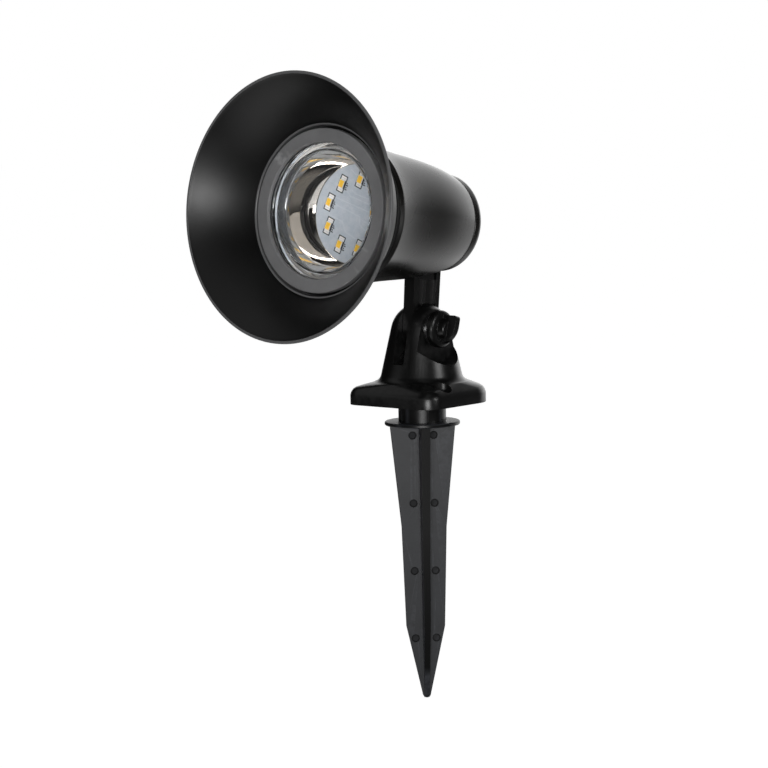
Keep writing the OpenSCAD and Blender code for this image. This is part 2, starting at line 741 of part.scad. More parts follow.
module inlet_nut() {
    color("#2a2a2c") along_axis(cap_floor_s - 2.4 - 0.02) difference() {
        hex_prism(inlet_d + 4, 2.4);
        translate([0, 0, -1]) cylinder(r = inlet_d / 2 + fit, h = 5);
    }
}

module inlet_seal() {
    color("#101010") along_axis(end_s + 0.01) difference() {
        cylinder(r = inlet_d / 2 + 1.8, h = 0.8);
        translate([0, 0, -1]) cylinder(r = inlet_d / 2 + fit, h = 3);
    }
}

module tilt_arm() {
    depth = arm_front + arm_rear;
    end_r = depth / 2;
    boss_r = bolt_bore_r + boss_wall;
    gap = (depth - 3 * arm_rib) / 2;
    tongue_z = arm_len - pad_down - tongue_t;
    color(black) difference() {
        union() {
            difference() {
                head_pose() rotate([90, 0, 90]) translate([0, 0, -arm_t / 2]) linear_extrude(arm_t) {
                    translate([arm_rear - end_r, 0]) circle(r = end_r);
                    polygon([[-arm_front, 0], [arm_rear, 0], [arm_rear, arm_len - 10],
                        [-arm_front - arm_flare, arm_len - 10]]);
                }
                along_axis() shell_outside(fit);
                head_pose() difference() {
                    for (x = [-1, 1], i = [0, 1])
                        translate([x > 0 ? arm_t / 2 - arm_pocket : -arm_t / 2 - 5,
                            -arm_front + arm_rib + i * (gap + arm_rib), 0])
                            cube([arm_pocket + 5, gap, arm_len]);
                    rotate([0, 90, 0]) cylinder(r = boss_r, h = 40, center = true);
                    translate([-20, -20, -1]) cube([40, 40, boss_r]);
                }
            }
            head_pose() translate([-arm_t / 2, -tongue_front, tongue_z])
                cube([arm_t, tongue_front + tongue_rear, arm_len - pad_down - tongue_z + 1]);
            head_pose() translate([-foot_w / 2, -arm_front - foot_front, arm_len - pad_down + fit])
                cube([foot_w, arm_front + foot_front + tongue_rear + seat_wall / 2, foot_t]);
        }
        head_pose() {
            rotate([0, 90, 0]) cylinder(r = bolt_bore_r, h = 40, center = true);
            for (x = [-1, 1]) translate([x * arm_screw_x, arm_screw_y, arm_len - pad_down - 1])
                cylinder(r = pilot_r, h = 6);
        }
    }
}

module arm_screws() {
    color("silver") head_pose() for (x = [-1, 1])
        translate([x * arm_screw_x, arm_screw_y, arm_len - pad_down + foot_t + 0.07])
            screw_with_slot(foot_t + 5.6);
}

// One corner of the base plate, turned about its own upright axis
module plate_corner(r, inset = 0, top = true) {
    turned(top ? [[0, plate_z], [r, plate_z], [r, plate_z + 4.6], [r - 0.5, plate_z + 6.2],
        [r - 1.5, plate_z + 7.6], [r - 3, plate_top + 0.3], [0, plate_top + 1.2]]
        : [[0, plate_z - 1], [r - inset, plate_z - 1], [r - inset, plate_z + 2.8], [0, plate_z + 2.8]]);
}

module plate_corners(inset = 0, top = true) {
    for (x = [-1, 1]) {
        translate([x * (plate_half - plate_front_r), plate_front_r - plate_half, 0])
            plate_corner(plate_front_r, inset, top);
        translate([x * (plate_half - plate_back_r), plate_half - plate_back_r, 0])
            plate_corner(plate_back_r, inset, top);
    }
}

// The pedestal's side is the line from its foot that just touches the dome
foot_to_dome = [-pedestal_r, dome_z - shelf_z];
side_lean = atan2(pedestal_r, foot_to_dome[1]) - asin(dome_r / norm(foot_to_dome));
function side_r(z) = pedestal_r - (z - shelf_z) * tan(side_lean);

// The fillet runs from the pedestal's side into the gentle slope of the plate
plate_slope = 15;
fillet_z = shelf_z + fillet_r * cos(plate_slope);
fillet_x = side_r(fillet_z) + fillet_r / cos(side_lean);
foot_r = fillet_x - fillet_r * sin(plate_slope);

module pedestal() {
    fillet_end = -90 - plate_slope;
    fillet_start = -180 + side_lean;
    turned(concat([[0, plate_z + 1], [foot_r, plate_z + 1]],
        [for (i = [0:6]) let (a = fillet_end + (fillet_start - fillet_end) * i / 6)
            [fillet_x + fillet_r * cos(a), fillet_z + fillet_r * sin(a)]],
        [for (i = [0:15]) let (a = side_lean + (90 - side_lean) * i / 15)
            [dome_r * cos(a), dome_z + dome_r * sin(a)]]));
}

module base_bracket() {
    countersink_t = (screw_mouth_d - screw_hole_d) / 2;
    color(black) difference() {
        union() {
            hull() {
                plate_corners();
                translate([0, 0, plate_z]) cylinder(r = foot_r, h = shelf_z - plate_z);
            }
            pedestal();
        }
        translate([-slot_w / 2, -50, slot_z]) cube([slot_w, 100, 60]);
        translate([ear_flat, 0, pivot_h]) rotate([0, 90, 0]) cylinder(r = scoop_r, h = 40);
        translate([0, 0, pivot_h]) rotate([0, 90, 0]) cylinder(r = bolt_bore_r, h = 60, center = true);
        translate([-ear_flat, 0, pivot_h]) rotate([0, -90, 0]) hex_prism(hex_af + 2 * slip, 30);
        translate([0, 0, plate_z - 1]) cylinder(r = socket_r, h = socket_top - plate_z + 1);
        difference() {
            hull() plate_corners(3, false);
            cylinder(r = socket_r + 2.6, h = 40);
            for (x = [-1, 1]) translate([x * screw_spacing / 2, -screw_front, 0]) cylinder(r = 5, h = 40);
        }
        for (x = [-1, 1]) translate([x * screw_spacing / 2, -screw_front, 0]) {
            cylinder(r = screw_hole_d / 2, h = 40);
            translate([0, 0, plate_top - countersink_t])
                cylinder(r1 = screw_hole_d / 2, r2 = screw_mouth_d / 2, h = countersink_t);
            translate([0, 0, plate_top - eps]) cylinder(r = screw_mouth_d / 2, h = 6);
        }
    }
}

module clamp_bolt() {
    length = bolt_end + ear_flat + 1;
    color("silver") translate([0, 0, pivot_h]) {
        translate([-ear_flat - 0.02, 0, 0]) rotate([0, -90, 0]) hex_prism(hex_af, bolt_head_t);
        translate([-ear_flat - 1, 0, 0]) rotate([0, 90, 0])
            turned([[0, 0], [bolt_r, 0], [bolt_r, length - 0.5], [bolt_r - 0.5, length], [0, length]]);
    }
}

module clamp_washer() {
    color("silver") translate([washer_x, 0, pivot_h]) rotate([0, 90, 0]) difference() {
        cylinder(r = knob_d / 2 - 1.2, h = washer_t);
        translate([0, 0, -1]) cylinder(r = bolt_bore_r, h = 4);
    }
}

module wing_knob() {
    r = knob_d / 2;
    half = wing_h / 2;
    core_t = bolt_end - wing_x + 2.2;
    corner_r = 1.4;
    sweep_h = 1.6;
    color(black) translate([knob_x, 0, pivot_h]) difference() {
        union() {
            rotate([0, 90, 0]) turned([[0, 0], [r - 0.8, 0], [r, 0.8], [r, knob_t - 1.4],
                [r - 0.5, knob_t - 0.5], [r - 1.6, knob_t], [5.2, knob_t], [4.6, knob_t + core_t - 0.6],
                [4, knob_t + core_t], [0, knob_t + core_t]]);
            rotate([90 - wing_lean, 0, 0]) translate([knob_t, 0, -wing_t / 2]) linear_extrude(wing_t)
                polygon(concat([[-1, -half]],
                    [for (k = [0:8]) let (a = -asin((half + sweep_h) / wing_sweep_r) * (1 - k / 8))
                        [wing_out, sweep_h] + wing_sweep_r * [cos(a) - 1, sin(a)]],
                    [for (a = [0:15:90]) [wing_out, half] + corner_r * [cos(a) - 1, sin(a) - 1]],
                    [[-1, half]]));
        }
        rotate([0, 90, 0]) {
            translate([0, 0, -1]) cylinder(r = bolt_r + 0.2, h = bolt_end - knob_x + 1.6);
            translate([0, 0, -1]) hex_prism(hex_af + 2 * fit, nut_t + 1.1);
        }
    }
}

module knob_nut() {
    color("goldenrod") translate([knob_x + 0.05, 0, pivot_h]) rotate([0, 90, 0]) difference() {
        hex_prism(hex_af, nut_t);
        translate([0, 0, -1]) cylinder(r = bolt_bore_r, h = nut_t + 2);
    }
}

module blade_pair() {
    knee_z = -spike_len * 0.38;
    point_z = -spike_len + point_len;
    tip_r = 2;
    half = [[blade_top, -flange_t + eps], [blade_mid, knee_z], [blade_low, point_z],
        [tip_r, -spike_len + tip_r]];
    tip = [for (a = [-15:-15:-90]) [tip_r * cos(a), -spike_len + tip_r + tip_r * sin(a)]];
    side = concat(half, tip);
    outline = concat(side, [for (i = [len(side) - 2:-1:0]) [-side[i][0], side[i][1]]]);
    thick = [[-blade_t_top / 2, 0], [-blade_t / 2, point_z], [-blade_t / 2 + 0.3, -spike_len - 1],
        [blade_t / 2 - 0.3, -spike_len - 1], [blade_t / 2, point_z], [blade_t_top / 2, 0]];
    difference() {
        intersection() {
            rotate([90, 0, 0]) translate([0, 0, -10]) linear_extrude(20) polygon(outline);
            rotate([90, 0, 90]) translate([0, 0, -30]) linear_extrude(60) polygon(thick);
        }
        for (x = [-1, 1], y = [-1, 1], row = [0:3]) ejector_mark(x * 5.2, y, -7 - row * (spike_len - 37) / 3);
    }
}

// A round mark where the mould's pin pushed the blade out
mark_depth = 0.4;
mark_r = 1.9;
module ejector_mark(x, side, z) {
    face = blade_t / 2 + (blade_t_top - blade_t) / 2 * (1 + z / (spike_len - point_len));
    translate([x, side * (max(face, blade_t / 2) + 3 - mark_depth), z]) rotate([90, 0, 0])
        cylinder(r = mark_r, h = 6, center = true);
}

module ground_spike() {
    r = spike_spigot_d / 2;
    color("#25272b") {
        difference() {
            turned([[0, -flange_t], [flange_d / 2 - 0.4, -flange_t], [flange_d / 2, -flange_t + 0.4],
                [flange_d / 2, -0.4], [flange_d / 2 - 0.4, 0], [r, 0], [r, spike_spigot_h - 1],
                [r - 1, spike_spigot_h], [0, spike_spigot_h]]);
            around(5, -38) translate([r - 0.5, -0.45, eps]) cube([2, 0.9, spike_spigot_h]);
        }
        rotate(blade_turn) {
            blade_pair();
            rotate(90) blade_pair();
        }
    }
}

shade();
bezel_ring();
lens();
lens_gasket();
reflector();
led_board();
led_packages();
led_windows();
board_carrier();
carrier_screws();
neck_seal();
head_shell();
cell_cradle();
cradle_screws();
battery_cell();
cell_spring();
cell_contact();
control_board();
driver_chip();
inductor();
capacitor();
lead_headers();
light_leads();
cell_leads();
panel_leads();
rear_cap();
cap_seal();
cap_screws();
panel_inlet();
inlet_pin();
inlet_nut();
inlet_seal();
tilt_arm();
arm_screws();
base_bracket();
clamp_bolt();
clamp_washer();
wing_knob();
knob_nut();
ground_spike();
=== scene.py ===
# %% [markdown]
# # A garden spotlight
# The light is a flared black hood on a tapered head, held by a ribbed arm in a
# clevis base that stands on a ground spike. The solids come in as a fixed frame,
# in metres, and every piece made here goes exactly where the frame says.

# %% Load the frame
import bpy
import bmesh
import json
import math
from mathutils import Matrix, Vector


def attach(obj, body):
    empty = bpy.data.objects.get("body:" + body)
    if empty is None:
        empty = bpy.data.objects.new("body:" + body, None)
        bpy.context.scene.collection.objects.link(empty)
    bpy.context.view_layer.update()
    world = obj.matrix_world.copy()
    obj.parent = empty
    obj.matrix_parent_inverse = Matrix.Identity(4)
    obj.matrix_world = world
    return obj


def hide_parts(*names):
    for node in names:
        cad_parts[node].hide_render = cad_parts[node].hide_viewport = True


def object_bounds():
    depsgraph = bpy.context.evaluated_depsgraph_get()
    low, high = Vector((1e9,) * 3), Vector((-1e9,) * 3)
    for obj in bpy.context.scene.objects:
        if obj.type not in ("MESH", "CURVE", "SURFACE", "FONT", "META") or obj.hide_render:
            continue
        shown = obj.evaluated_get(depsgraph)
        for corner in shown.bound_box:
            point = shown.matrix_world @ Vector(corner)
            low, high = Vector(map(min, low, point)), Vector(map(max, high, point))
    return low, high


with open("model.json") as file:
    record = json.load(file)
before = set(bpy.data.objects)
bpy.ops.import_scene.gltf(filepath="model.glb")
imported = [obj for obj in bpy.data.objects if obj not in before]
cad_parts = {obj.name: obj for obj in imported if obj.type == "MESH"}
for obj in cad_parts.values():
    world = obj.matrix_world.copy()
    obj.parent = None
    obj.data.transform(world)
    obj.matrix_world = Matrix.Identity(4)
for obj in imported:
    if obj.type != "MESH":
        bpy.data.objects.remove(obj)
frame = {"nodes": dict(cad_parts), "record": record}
nodes = frame["nodes"]
cad_low, cad_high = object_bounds()
print("frame box", [round(v, 4) for v in cad_low], [round(v, 4) for v in cad_high])

# %% [markdown]
# ## Camera
# The photograph was taken with a long lens, a little above the light and from its
# front right. A long focal length keeps the two ends of the head in proportion.

# %% Set the camera
MM = 0.001
CAMERA_TURN = (39.69, 6.14, -1.02)  # azimuth, elevation and roll, in degrees
CAMERA_PLACE = (1470.0, -18.49, 18.37)  # distance, then how far across and up it looks, in mm
LENS_LENGTH, SENSOR_WIDTH = 140.6, 36  # both in mm
FAR_END = 20  # metres


def new_object(name, data):
    obj = bpy.data.objects.new(name, data)
    bpy.context.scene.collection.objects.link(obj)
    return obj


def aim_camera(azimuth, elevation, roll, distance, across, up):
    a, e, r = math.radians(azimuth), math.radians(elevation), math.radians(roll)
    back = Vector((math.sin(a) * math.cos(e), -math.cos(a) * math.cos(e), math.sin(e)))
    right = Vector((math.cos(a), math.sin(a), 0))
    top = back.cross(right)
    x_axis = right * math.cos(r) + top * math.sin(r)
    y_axis = top * math.cos(r) - right * math.sin(r)
    place = right * across + Vector((0, 0, up)) + back * distance
    rows = [(x_axis[i], y_axis[i], back[i], place[i]) for i in range(3)]
    camera = new_object("camera", bpy.data.cameras.new("camera"))
    camera.data.lens = LENS_LENGTH
    camera.data.sensor_width = SENSOR_WIDTH
    camera.data.clip_end = FAR_END
    camera.matrix_world = Matrix((*rows, (0, 0, 0, 1)))
    bpy.context.scene.camera = camera
    return camera


camera = aim_camera(*CAMERA_TURN, *(length * MM for length in CAMERA_PLACE))
print("camera at", [round(v, 3) for v in camera.location])

# %% [markdown]
# ## The head's own directions
# Most of the head is turned about one axis that leans 6.5 degrees back at rest.
# One matrix takes a point written as across, back from the rim, up from the axis
# and puts it in the tilted head, so each profile is written in plain numbers.

# %% The head's matrix
HEAD_TILT = math.radians(6.5)
PIVOT_HEIGHT = 45.6
ARM_LENGTH = 52.3
ARM_BACK = 104.3
head_matrix = (
    Matrix.Translation((0, 0, PIVOT_HEIGHT * MM))
    @ Matrix.Rotation(-HEAD_TILT, 4, "X")
    @ Matrix.Translation((0, -ARM_BACK * MM, ARM_LENGTH * MM))
)


def in_head(across, back, up):
    return head_matrix @ Vector((across * MM, back * MM, up * MM))


print("rim centre", [round(v, 4) for v in in_head(0, 0, 0)])

# %% [markdown]
# ## Surface effects as shader groups
# Moulded plastic is never perfectly even: it has a fine grain, slow changes of
# gloss and edges that are rubbed lighter. Painted pictures could show that, but
# noise in space needs no unwrapping and stays sharp close up. Each effect is one
# node group with named inputs, so that every plastic can use its own strength.

# %% Node helpers
def new_group(name, inputs, outputs):
    tree = bpy.data.node_groups.new(name, "ShaderNodeTree")
    for label, kind, value in inputs:
        socket = tree.interface.new_socket(label, in_out="INPUT", socket_type=kind)
        socket.default_value = value
    for label, kind in outputs:
        tree.interface.new_socket(label, in_out="OUTPUT", socket_type=kind)
    return tree, tree.nodes.new("NodeGroupInput"), tree.nodes.new("NodeGroupOutput")


def feed(tree, socket, value):
    """Link another node's output to a socket, or write a plain value in it."""
    if hasattr(value, "is_output"):
        tree.links.new(value, socket)
    else:
        socket.default_value = value


def math_node(tree, operation, *values):
    node = tree.nodes.new("ShaderNodeMath")
    node.operation = operation
    for socket, value in zip(node.inputs, values):
        feed(tree, socket, value)
    return node.outputs[0]


def vector_node(tree, operation, *values):
    """A vector calculation. A length and a dot product come out as one number."""
    node = tree.nodes.new("ShaderNodeVectorMath")
    node.operation = operation
    for socket, value in zip(node.inputs, values):
        feed(tree, socket, value)
    return node.outputs["Value" if operation in ("LENGTH", "DOT_PRODUCT") else "Vector"]


def noise_node(tree, vector, scale, detail, rough):
    node = tree.nodes.new("ShaderNodeTexNoise")
    for label, value in (("Vector", vector), ("Scale", scale), ("Detail", detail), ("Roughness", rough)):
        feed(tree, node.inputs[label], value)
    return node.outputs["Fac"]


def ramp_node(tree, value, low, high, out_low=0.0, out_high=1.0):
    node = tree.nodes.new("ShaderNodeMapRange")
    tree.links.new(value, node.inputs["Value"])
    ends = (("From Min", low), ("From Max", high), ("To Min", out_low), ("To Max", out_high))
    for label, number in ends:
        node.inputs[label].default_value = number
    return node.outputs["Result"]


def object_place(tree):
    return tree.nodes.new("ShaderNodeTexCoord").outputs["Object"]


# %% Grain and gloss group
GRAIN_HEIGHT = 0.00005  # metres
GLOSS_CLOUDS = 40.0  # noise scale of the slow changes of gloss


def make_grain_group():
    tree, source, sink = new_group(
        "moulded_grain",
        [("Grain size", "NodeSocketFloat", 2500.0), ("Grain depth", "NodeSocketFloat", 0.2),
         ("Gloss", "NodeSocketFloat", 0.45), ("Gloss change", "NodeSocketFloat", 0.06)],
        [("Roughness", "NodeSocketFloat"), ("Normal", "NodeSocketVector")],
    )
    place = object_place(tree)
    grain = noise_node(tree, place, source.outputs["Grain size"], 3.0, 0.6)
    slow = noise_node(tree, place, GLOSS_CLOUDS, 2.0, 0.5)
    bump = tree.nodes.new("ShaderNodeBump")
    bump.inputs["Distance"].default_value = GRAIN_HEIGHT
    tree.links.new(source.outputs["Grain depth"], bump.inputs["Strength"])
    tree.links.new(grain, bump.inputs["Height"])
    change = math_node(tree, "SUBTRACT", slow, 0.5)
    change = math_node(tree, "MULTIPLY", change, source.outputs["Gloss change"])
    change = math_node(tree, "MULTIPLY", change, 2.0)
    tree.links.new(math_node(tree, "ADD", source.outputs["Gloss"], change), sink.inputs["Roughness"])
    tree.links.new(bump.outputs["Normal"], sink.inputs["Normal"])
    return tree


grain_group = make_grain_group()


# %% Rubbed edge group
def make_edge_group():
    tree, source, sink = new_group(
        "rubbed_edges",
        [("Colour", "NodeSocketColor", (0.02, 0.02, 0.02, 1)),
         ("Edge colour", "NodeSocketColor", (0.08, 0.08, 0.08, 1)),
         ("Amount", "NodeSocketFloat", 0.4), ("Variation", "NodeSocketFloat", 0.12)],
        [("Colour", "NodeSocketColor")],
    )
    place = object_place(tree)
    pointed = tree.nodes.new("ShaderNodeNewGeometry").outputs["Pointiness"]
    sharp = ramp_node(tree, pointed, 0.52, 0.62)
    broken = ramp_node(tree, noise_node(tree, place, 350.0, 3.0, 0.6), 0.35, 0.65)
    mask = math_node(tree, "MULTIPLY", sharp, broken)
    mask = math_node(tree, "MULTIPLY", mask, source.outputs["Amount"])
    cloud = noise_node(tree, place, 60.0, 3.0, 0.55)
    shade = ramp_node(tree, cloud, 0.3, 0.7, -1.0, 1.0)
    shade = math_node(tree, "MULTIPLY", shade, source.outputs["Variation"])
    shade = math_node(tree, "ADD", shade, 1.0)
    tint = tree.nodes.new("ShaderNodeVectorMath")
    tint.operation = "SCALE"
    tree.links.new(source.outputs["Colour"], tint.inputs[0])
    tree.links.new(shade, tint.inputs["Scale"])
    mix = tree.nodes.new("ShaderNodeMix")
    mix.data_type = "RGBA"
    tree.links.new(mask, mix.inputs["Factor"])
    tree.links.new(tint.outputs[0], mix.inputs["A"])
    tree.links.new(source.outputs["Edge colour"], mix.inputs["B"])
    tree.links.new(mix.outputs["Result"], sink.inputs["Colour"])
    return tree


edge_group = make_edge_group()
print("shader groups", [g.name for g in bpy.data.node_groups])

# %% [markdown]
# ## Finishes
# One recipe covers all the moulded plastics: a colour with light worn edges, a
# grain and a gloss. Black plastic outdoors is really a very dark grey, and how
# sharp it mirrors tells its parts apart, so the blacks differ mostly in gloss.
# Metals take the same recipe with their metallic value up.

# %% Plastic recipe
def moulded(name, colour, gloss, grain_size=2500.0, grain_depth=0.2, edge=None, wear=0.4,
            variation=0.12, gloss_change=0.06, specular=0.5, metallic=0.0):
    material = bpy.data.materials.new("finish_" + name)
    material.use_nodes = True
    tree = material.node_tree
    shader = tree.nodes["Principled BSDF"]
    edges = tree.nodes.new("ShaderNodeGroup")
    edges.node_tree = edge_group
    edges.inputs["Colour"].default_value = (*colour, 1)
    edges.inputs["Edge colour"].default_value = (*(edge or [min(1, 3 * c + 0.02) for c in colour]), 1)
    edges.inputs["Amount"].default_value = wear
    edges.inputs["Variation"].default_value = variation
    grain = tree.nodes.new("ShaderNodeGroup")
    grain.node_tree = grain_group
    grain.inputs["Grain size"].default_value = grain_size
    grain.inputs["Grain depth"].default_value = grain_depth
    grain.inputs["Gloss"].default_value = gloss
    grain.inputs["Gloss change"].default_value = gloss_change
    tree.links.new(edges.outputs["Colour"], shader.inputs["Base Color"])
    tree.links.new(grain.outputs["Roughness"], shader.inputs["Roughness"])
    tree.links.new(grain.outputs["Normal"], shader.inputs["Normal"])
    shader.inputs["Specular IOR Level"].default_value = specular
    shader.inputs["Metallic"].default_value = metallic
    return material


def grey(level):
    return (level, level, level * 1.02)


# %% The finishes, one for each slot of the frame
finishes = {
    "shade_black": moulded("shade_black", grey(0.004), 0.36, 3200.0, 0.35, variation=0.15, specular=0.42),
    "bezel_grey": moulded("bezel_grey", grey(0.24), 0.55, 3000.0, 0.3),
    "seal_rubber": moulded("seal_rubber", grey(0.012), 0.6, 1500.0, 0.15, wear=0.1),
    "body_black": moulded("body_black", (0.0065, 0.006, 0.0052), 0.27, 3000.0, 0.12),
    "arm_black": moulded("arm_black", (0.004, 0.004, 0.004), 0.3, 1800.0, 0.12),
    "spike_black": moulded("spike_black", (0.022, 0.0235, 0.028), 0.42, 900.0, 0.25, variation=0.2),
    "metallised": moulded("metallised", (0.62, 0.585, 0.54), 0.03, 110.0, 0.7, edge=(0.9, 0.9, 0.9),
                          wear=0.1, variation=0.02, gloss_change=0.03, metallic=1.0),
    "board_white": moulded("board_white", (0.43, 0.475, 0.53), 0.4, 1200.0, 0.05,
                           edge=(0.7, 0.7, 0.7), variation=0.05),
    "led_white": moulded("led_white", (0.75, 0.75, 0.72), 0.4, 1500.0, 0.05, edge=(0.85, 0.85, 0.85)),
    "led_amber": moulded("led_amber", (1.0, 0.58, 0.015), 0.35, 2500.0, 0.2,
                         edge=(1, 0.7, 0.2), variation=0.1),
    "inner_white": moulded("inner_white", (0.7, 0.7, 0.67), 0.5, 1500.0, 0.1),
    "screw_steel": moulded("screw_steel", (0.55, 0.55, 0.56), 0.28, 1500.0, 0.1,
                           edge=(0.7, 0.7, 0.7), metallic=1.0),
    "cell_wrap": moulded("cell_wrap", (0.05, 0.28, 0.12), 0.25),
    "board_green": moulded("board_green", (0.015, 0.12, 0.04), 0.35),
    "chip_black": moulded("chip_black", grey(0.015), 0.5),
    "coil_dark": moulded("coil_dark", grey(0.05), 0.6),
    "can_blue": moulded("can_blue", (0.03, 0.05, 0.16), 0.3),
    "header_ivory": moulded("header_ivory", (0.7, 0.62, 0.42), 0.45),
    "lead_red": moulded("lead_red", (0.42, 0.02, 0.015), 0.45),
    "lead_dark": moulded("lead_dark", grey(0.015), 0.45),
    "lead_blue": moulded("lead_blue", (0.03, 0.08, 0.35), 0.45),
    "brass": moulded("brass", (0.72, 0.52, 0.2), 0.3, 1200.0, 0.1, edge=(0.85, 0.7, 0.4), metallic=1.0),
}

# %% [markdown]
# ## Marks of making, painted shade and painted highlight
# The way a piece was made leaves marks on it: the spike's narrow edges are
# polished where the mould parts and round marks of the mould's pins run down its
# blades. The narrow edges and the pin marks are also painted darker, a painted
# shade, and the hood's rim and lip are painted lighter, a painted highlight. They
# are too flat to be worth modelling, so each is a mask, worked out from the
# surface's place and direction, that changes the colour and sometimes the gloss.

# %% Lay a mark over a finish
def strongest(tree, masks):
    """The largest of several masks at each point."""
    mask = masks[0]
    for other in masks[1:]:
        mask = math_node(tree, "MAXIMUM", mask, other)
    return mask


def lay_over(material, mask, colour, gloss=None):
    """Where the mask is 1 the finish has this colour and, where it is given, this roughness."""
    tree = material.node_tree
    shader = tree.nodes["Principled BSDF"]
    layers = [("Base Color", "RGBA", (*colour, 1))]
    if gloss is not None:
        layers.append(("Roughness", "FLOAT", gloss))
    for label, kind, value in layers:
        mix = tree.nodes.new("ShaderNodeMix")
        mix.data_type = kind
        tree.links.new(mask, mix.inputs["Factor"])
        tree.links.new(shader.inputs[label].links[0].from_socket, mix.inputs["A"])
        mix.inputs["B"].default_value = value
        tree.links.new(mix.outputs["Result"], shader.inputs[label])


# %% Polished edges of the spike's blades, painted darker as painted shade
BLADE_TURN = 45  # degrees from the X direction to the first blade; the second crosses it
FACING = (0.7, 0.8)  # cosines between which a face begins to count as facing a direction
BLADE_START = (0.004, 0.005)  # metres from the spike's middle where the blades begin


def blade_ways(turn):
    """The two level directions in which the crossed blades run."""
    angles = (math.radians(turn), math.radians(turn + 90))
    return [(math.cos(angle), math.sin(angle), 0) for angle in angles]


def size_along(tree, vector, way):
    """How much of a vector lies along a direction, whichever way it points."""
    return math_node(tree, "ABSOLUTE", vector_node(tree, "DOT_PRODUCT", vector, way))


def polish_and_shade_edges(material, turn, colour, gloss):
    """The mould's split polishes the blades' narrow edges and they are painted darker, a painted shade; the
    wide faces keep the texture.
    """
    tree = material.node_tree
    coords = tree.nodes.new("ShaderNodeTexCoord")
    masks = []
    for along in blade_ways(turn):
        facing = size_along(tree, coords.outputs["Normal"], along)
        out = size_along(tree, coords.outputs["Object"], along)
        masks.append(math_node(tree, "MULTIPLY", ramp_node(tree, facing, *FACING),
                               ramp_node(tree, out, *BLADE_START)))
    lay_over(material, strongest(tree, masks), colour, gloss)


# The edges' darker colour is painted shade; their higher gloss is their own.
polish_and_shade_edges(finishes["spike_black"], BLADE_TURN, grey(0.003), gloss=0.3)


# %% Pin marks down the spike's blades, painted darker as painted shade
def shaded_pin_marks(material, turn, out, first, pitch, radius, colour, gloss):
    """Rows of round marks with painted shade: a dark rim round a slightly darker disc, for the shade in their
    shallow recesses.

    out: metres from the middle to the marks; first: height of the highest mark; pitch: from mark to mark.
    """
    tree = material.node_tree
    coords = tree.nodes.new("ShaderNodeTexCoord")
    height = tree.nodes.new("ShaderNodeSeparateXYZ")
    tree.links.new(coords.outputs["Object"], height.inputs[0])
    down = math_node(tree, "SUBTRACT", first, height.outputs["Z"])
    row = math_node(tree, "ROUND", math_node(tree, "DIVIDE", down, pitch))
    drop = math_node(tree, "SUBTRACT", down, math_node(tree, "MULTIPLY", row, pitch))
    masks = []
    for along in blade_ways(turn):
        across = (-along[1], along[0], 0)
        on_face = ramp_node(tree, size_along(tree, coords.outputs["Normal"], across), *FACING)
        side = math_node(tree, "SUBTRACT", size_along(tree, coords.outputs["Object"], along), out)
        squares = [math_node(tree, "POWER", leg, 2.0) for leg in (side, drop)]
        distance = math_node(tree, "SQRT", math_node(tree, "ADD", *squares))
        inside = ramp_node(tree, distance, radius, radius * 1.1, 1.0, 0.0)
        rim = ramp_node(tree, distance, radius * 0.7, radius * 0.9, 0.55, 1.0)
        masks.append(math_node(tree, "MULTIPLY", on_face, math_node(tree, "MULTIPLY", inside, rim)))
    lay_over(material, strongest(tree, masks), colour, gloss)


# The marks' darker colour, darkest at the rim, is painted shade of their shallow recesses; their matt gloss
# is their own.
shaded_pin_marks(finishes["spike_black"], BLADE_TURN, out=0.0052, first=-0.007, pitch=0.03367, radius=0.0019,
          colour=grey(0.004), gloss=0.95)

# %% Painted highlight bands of the hood
BAND_FADE = 0.1  # mm on each side of a band's edge
RIM_HIGHLIGHT, LIP_HIGHLIGHT = (61.9, 64.0), (40.2, 41.1)  # radii in mm


def axis_distance(tree):
    """Metres from the head's own axis, read from Object coordinates, so that it rides with the head."""
    from_rim = vector_node(tree, "SUBTRACT", object_place(tree), in_head(0, 0, 0))
    axis = (in_head(0, 1, 0) - in_head(0, 0, 0)).normalized()
    return vector_node(tree, "LENGTH", vector_node(tree, "CROSS_PRODUCT", from_rim, axis))


def paint_highlight_bands(material, colour, bands):
    """Painted highlight rings: from one radius to the next the finish turns lighter."""
    tree = material.node_tree
    radius = axis_distance(tree)
    masks = []
    for inner, outer in bands:
        rise = ramp_node(tree, radius, (inner - BAND_FADE) * MM, (inner + BAND_FADE) * MM)
        fall = ramp_node(tree, radius, (outer - BAND_FADE) * MM, (outer + BAND_FADE) * MM, 1.0, 0.0)
        masks.append(math_node(tree, "MULTIPLY", rise, fall))
    lay_over(material, strongest(tree, masks), colour)


# The rim's front and the lip ring are painted lighter, a painted highlight where their edges catch the light.
paint_highlight_bands(finishes["shade_black"], grey(0.15), (RIM_HIGHLIGHT, LIP_HIGHLIGHT))

print("marks laid over", [finishes[slot].name for slot in ("spike_black", "shade_black")])

# %% [markdown]
# ## Clear plastic
# The lens is clear acrylic, which bends light a little less than glass. A real
# lens would let the lamps light the board behind it, but a renderer stops that
# light at the lens. Shadow rays therefore find the lens almost transparent.

# %% The clear recipe
def clear_plastic(name):
    """Clear plastic that lets most of the lamps' light through to the board behind it."""
    material = bpy.data.materials.new("finish_" + name)
    material.use_nodes = True
    tree = material.node_tree
    shader = tree.nodes["Principled BSDF"]
    shader.inputs["Base Color"].default_value = (0.98, 0.99, 1.0, 1)
    shader.inputs["Roughness"].default_value = 0.0
    shader.inputs["IOR"].default_value = 1.49
    shader.inputs["Transmission Weight"].default_value = 1.0
    to_lamp = tree.nodes.new("ShaderNodeLightPath").outputs["Is Shadow Ray"]
    let_through = math_node(tree, "MULTIPLY", to_lamp, 0.92)
    tree.links.new(math_node(tree, "SUBTRACT", 1.0, let_through), shader.inputs["Alpha"])
    return material


finishes["clear"] = clear_plastic("clear")
print("finishes", len(finishes))

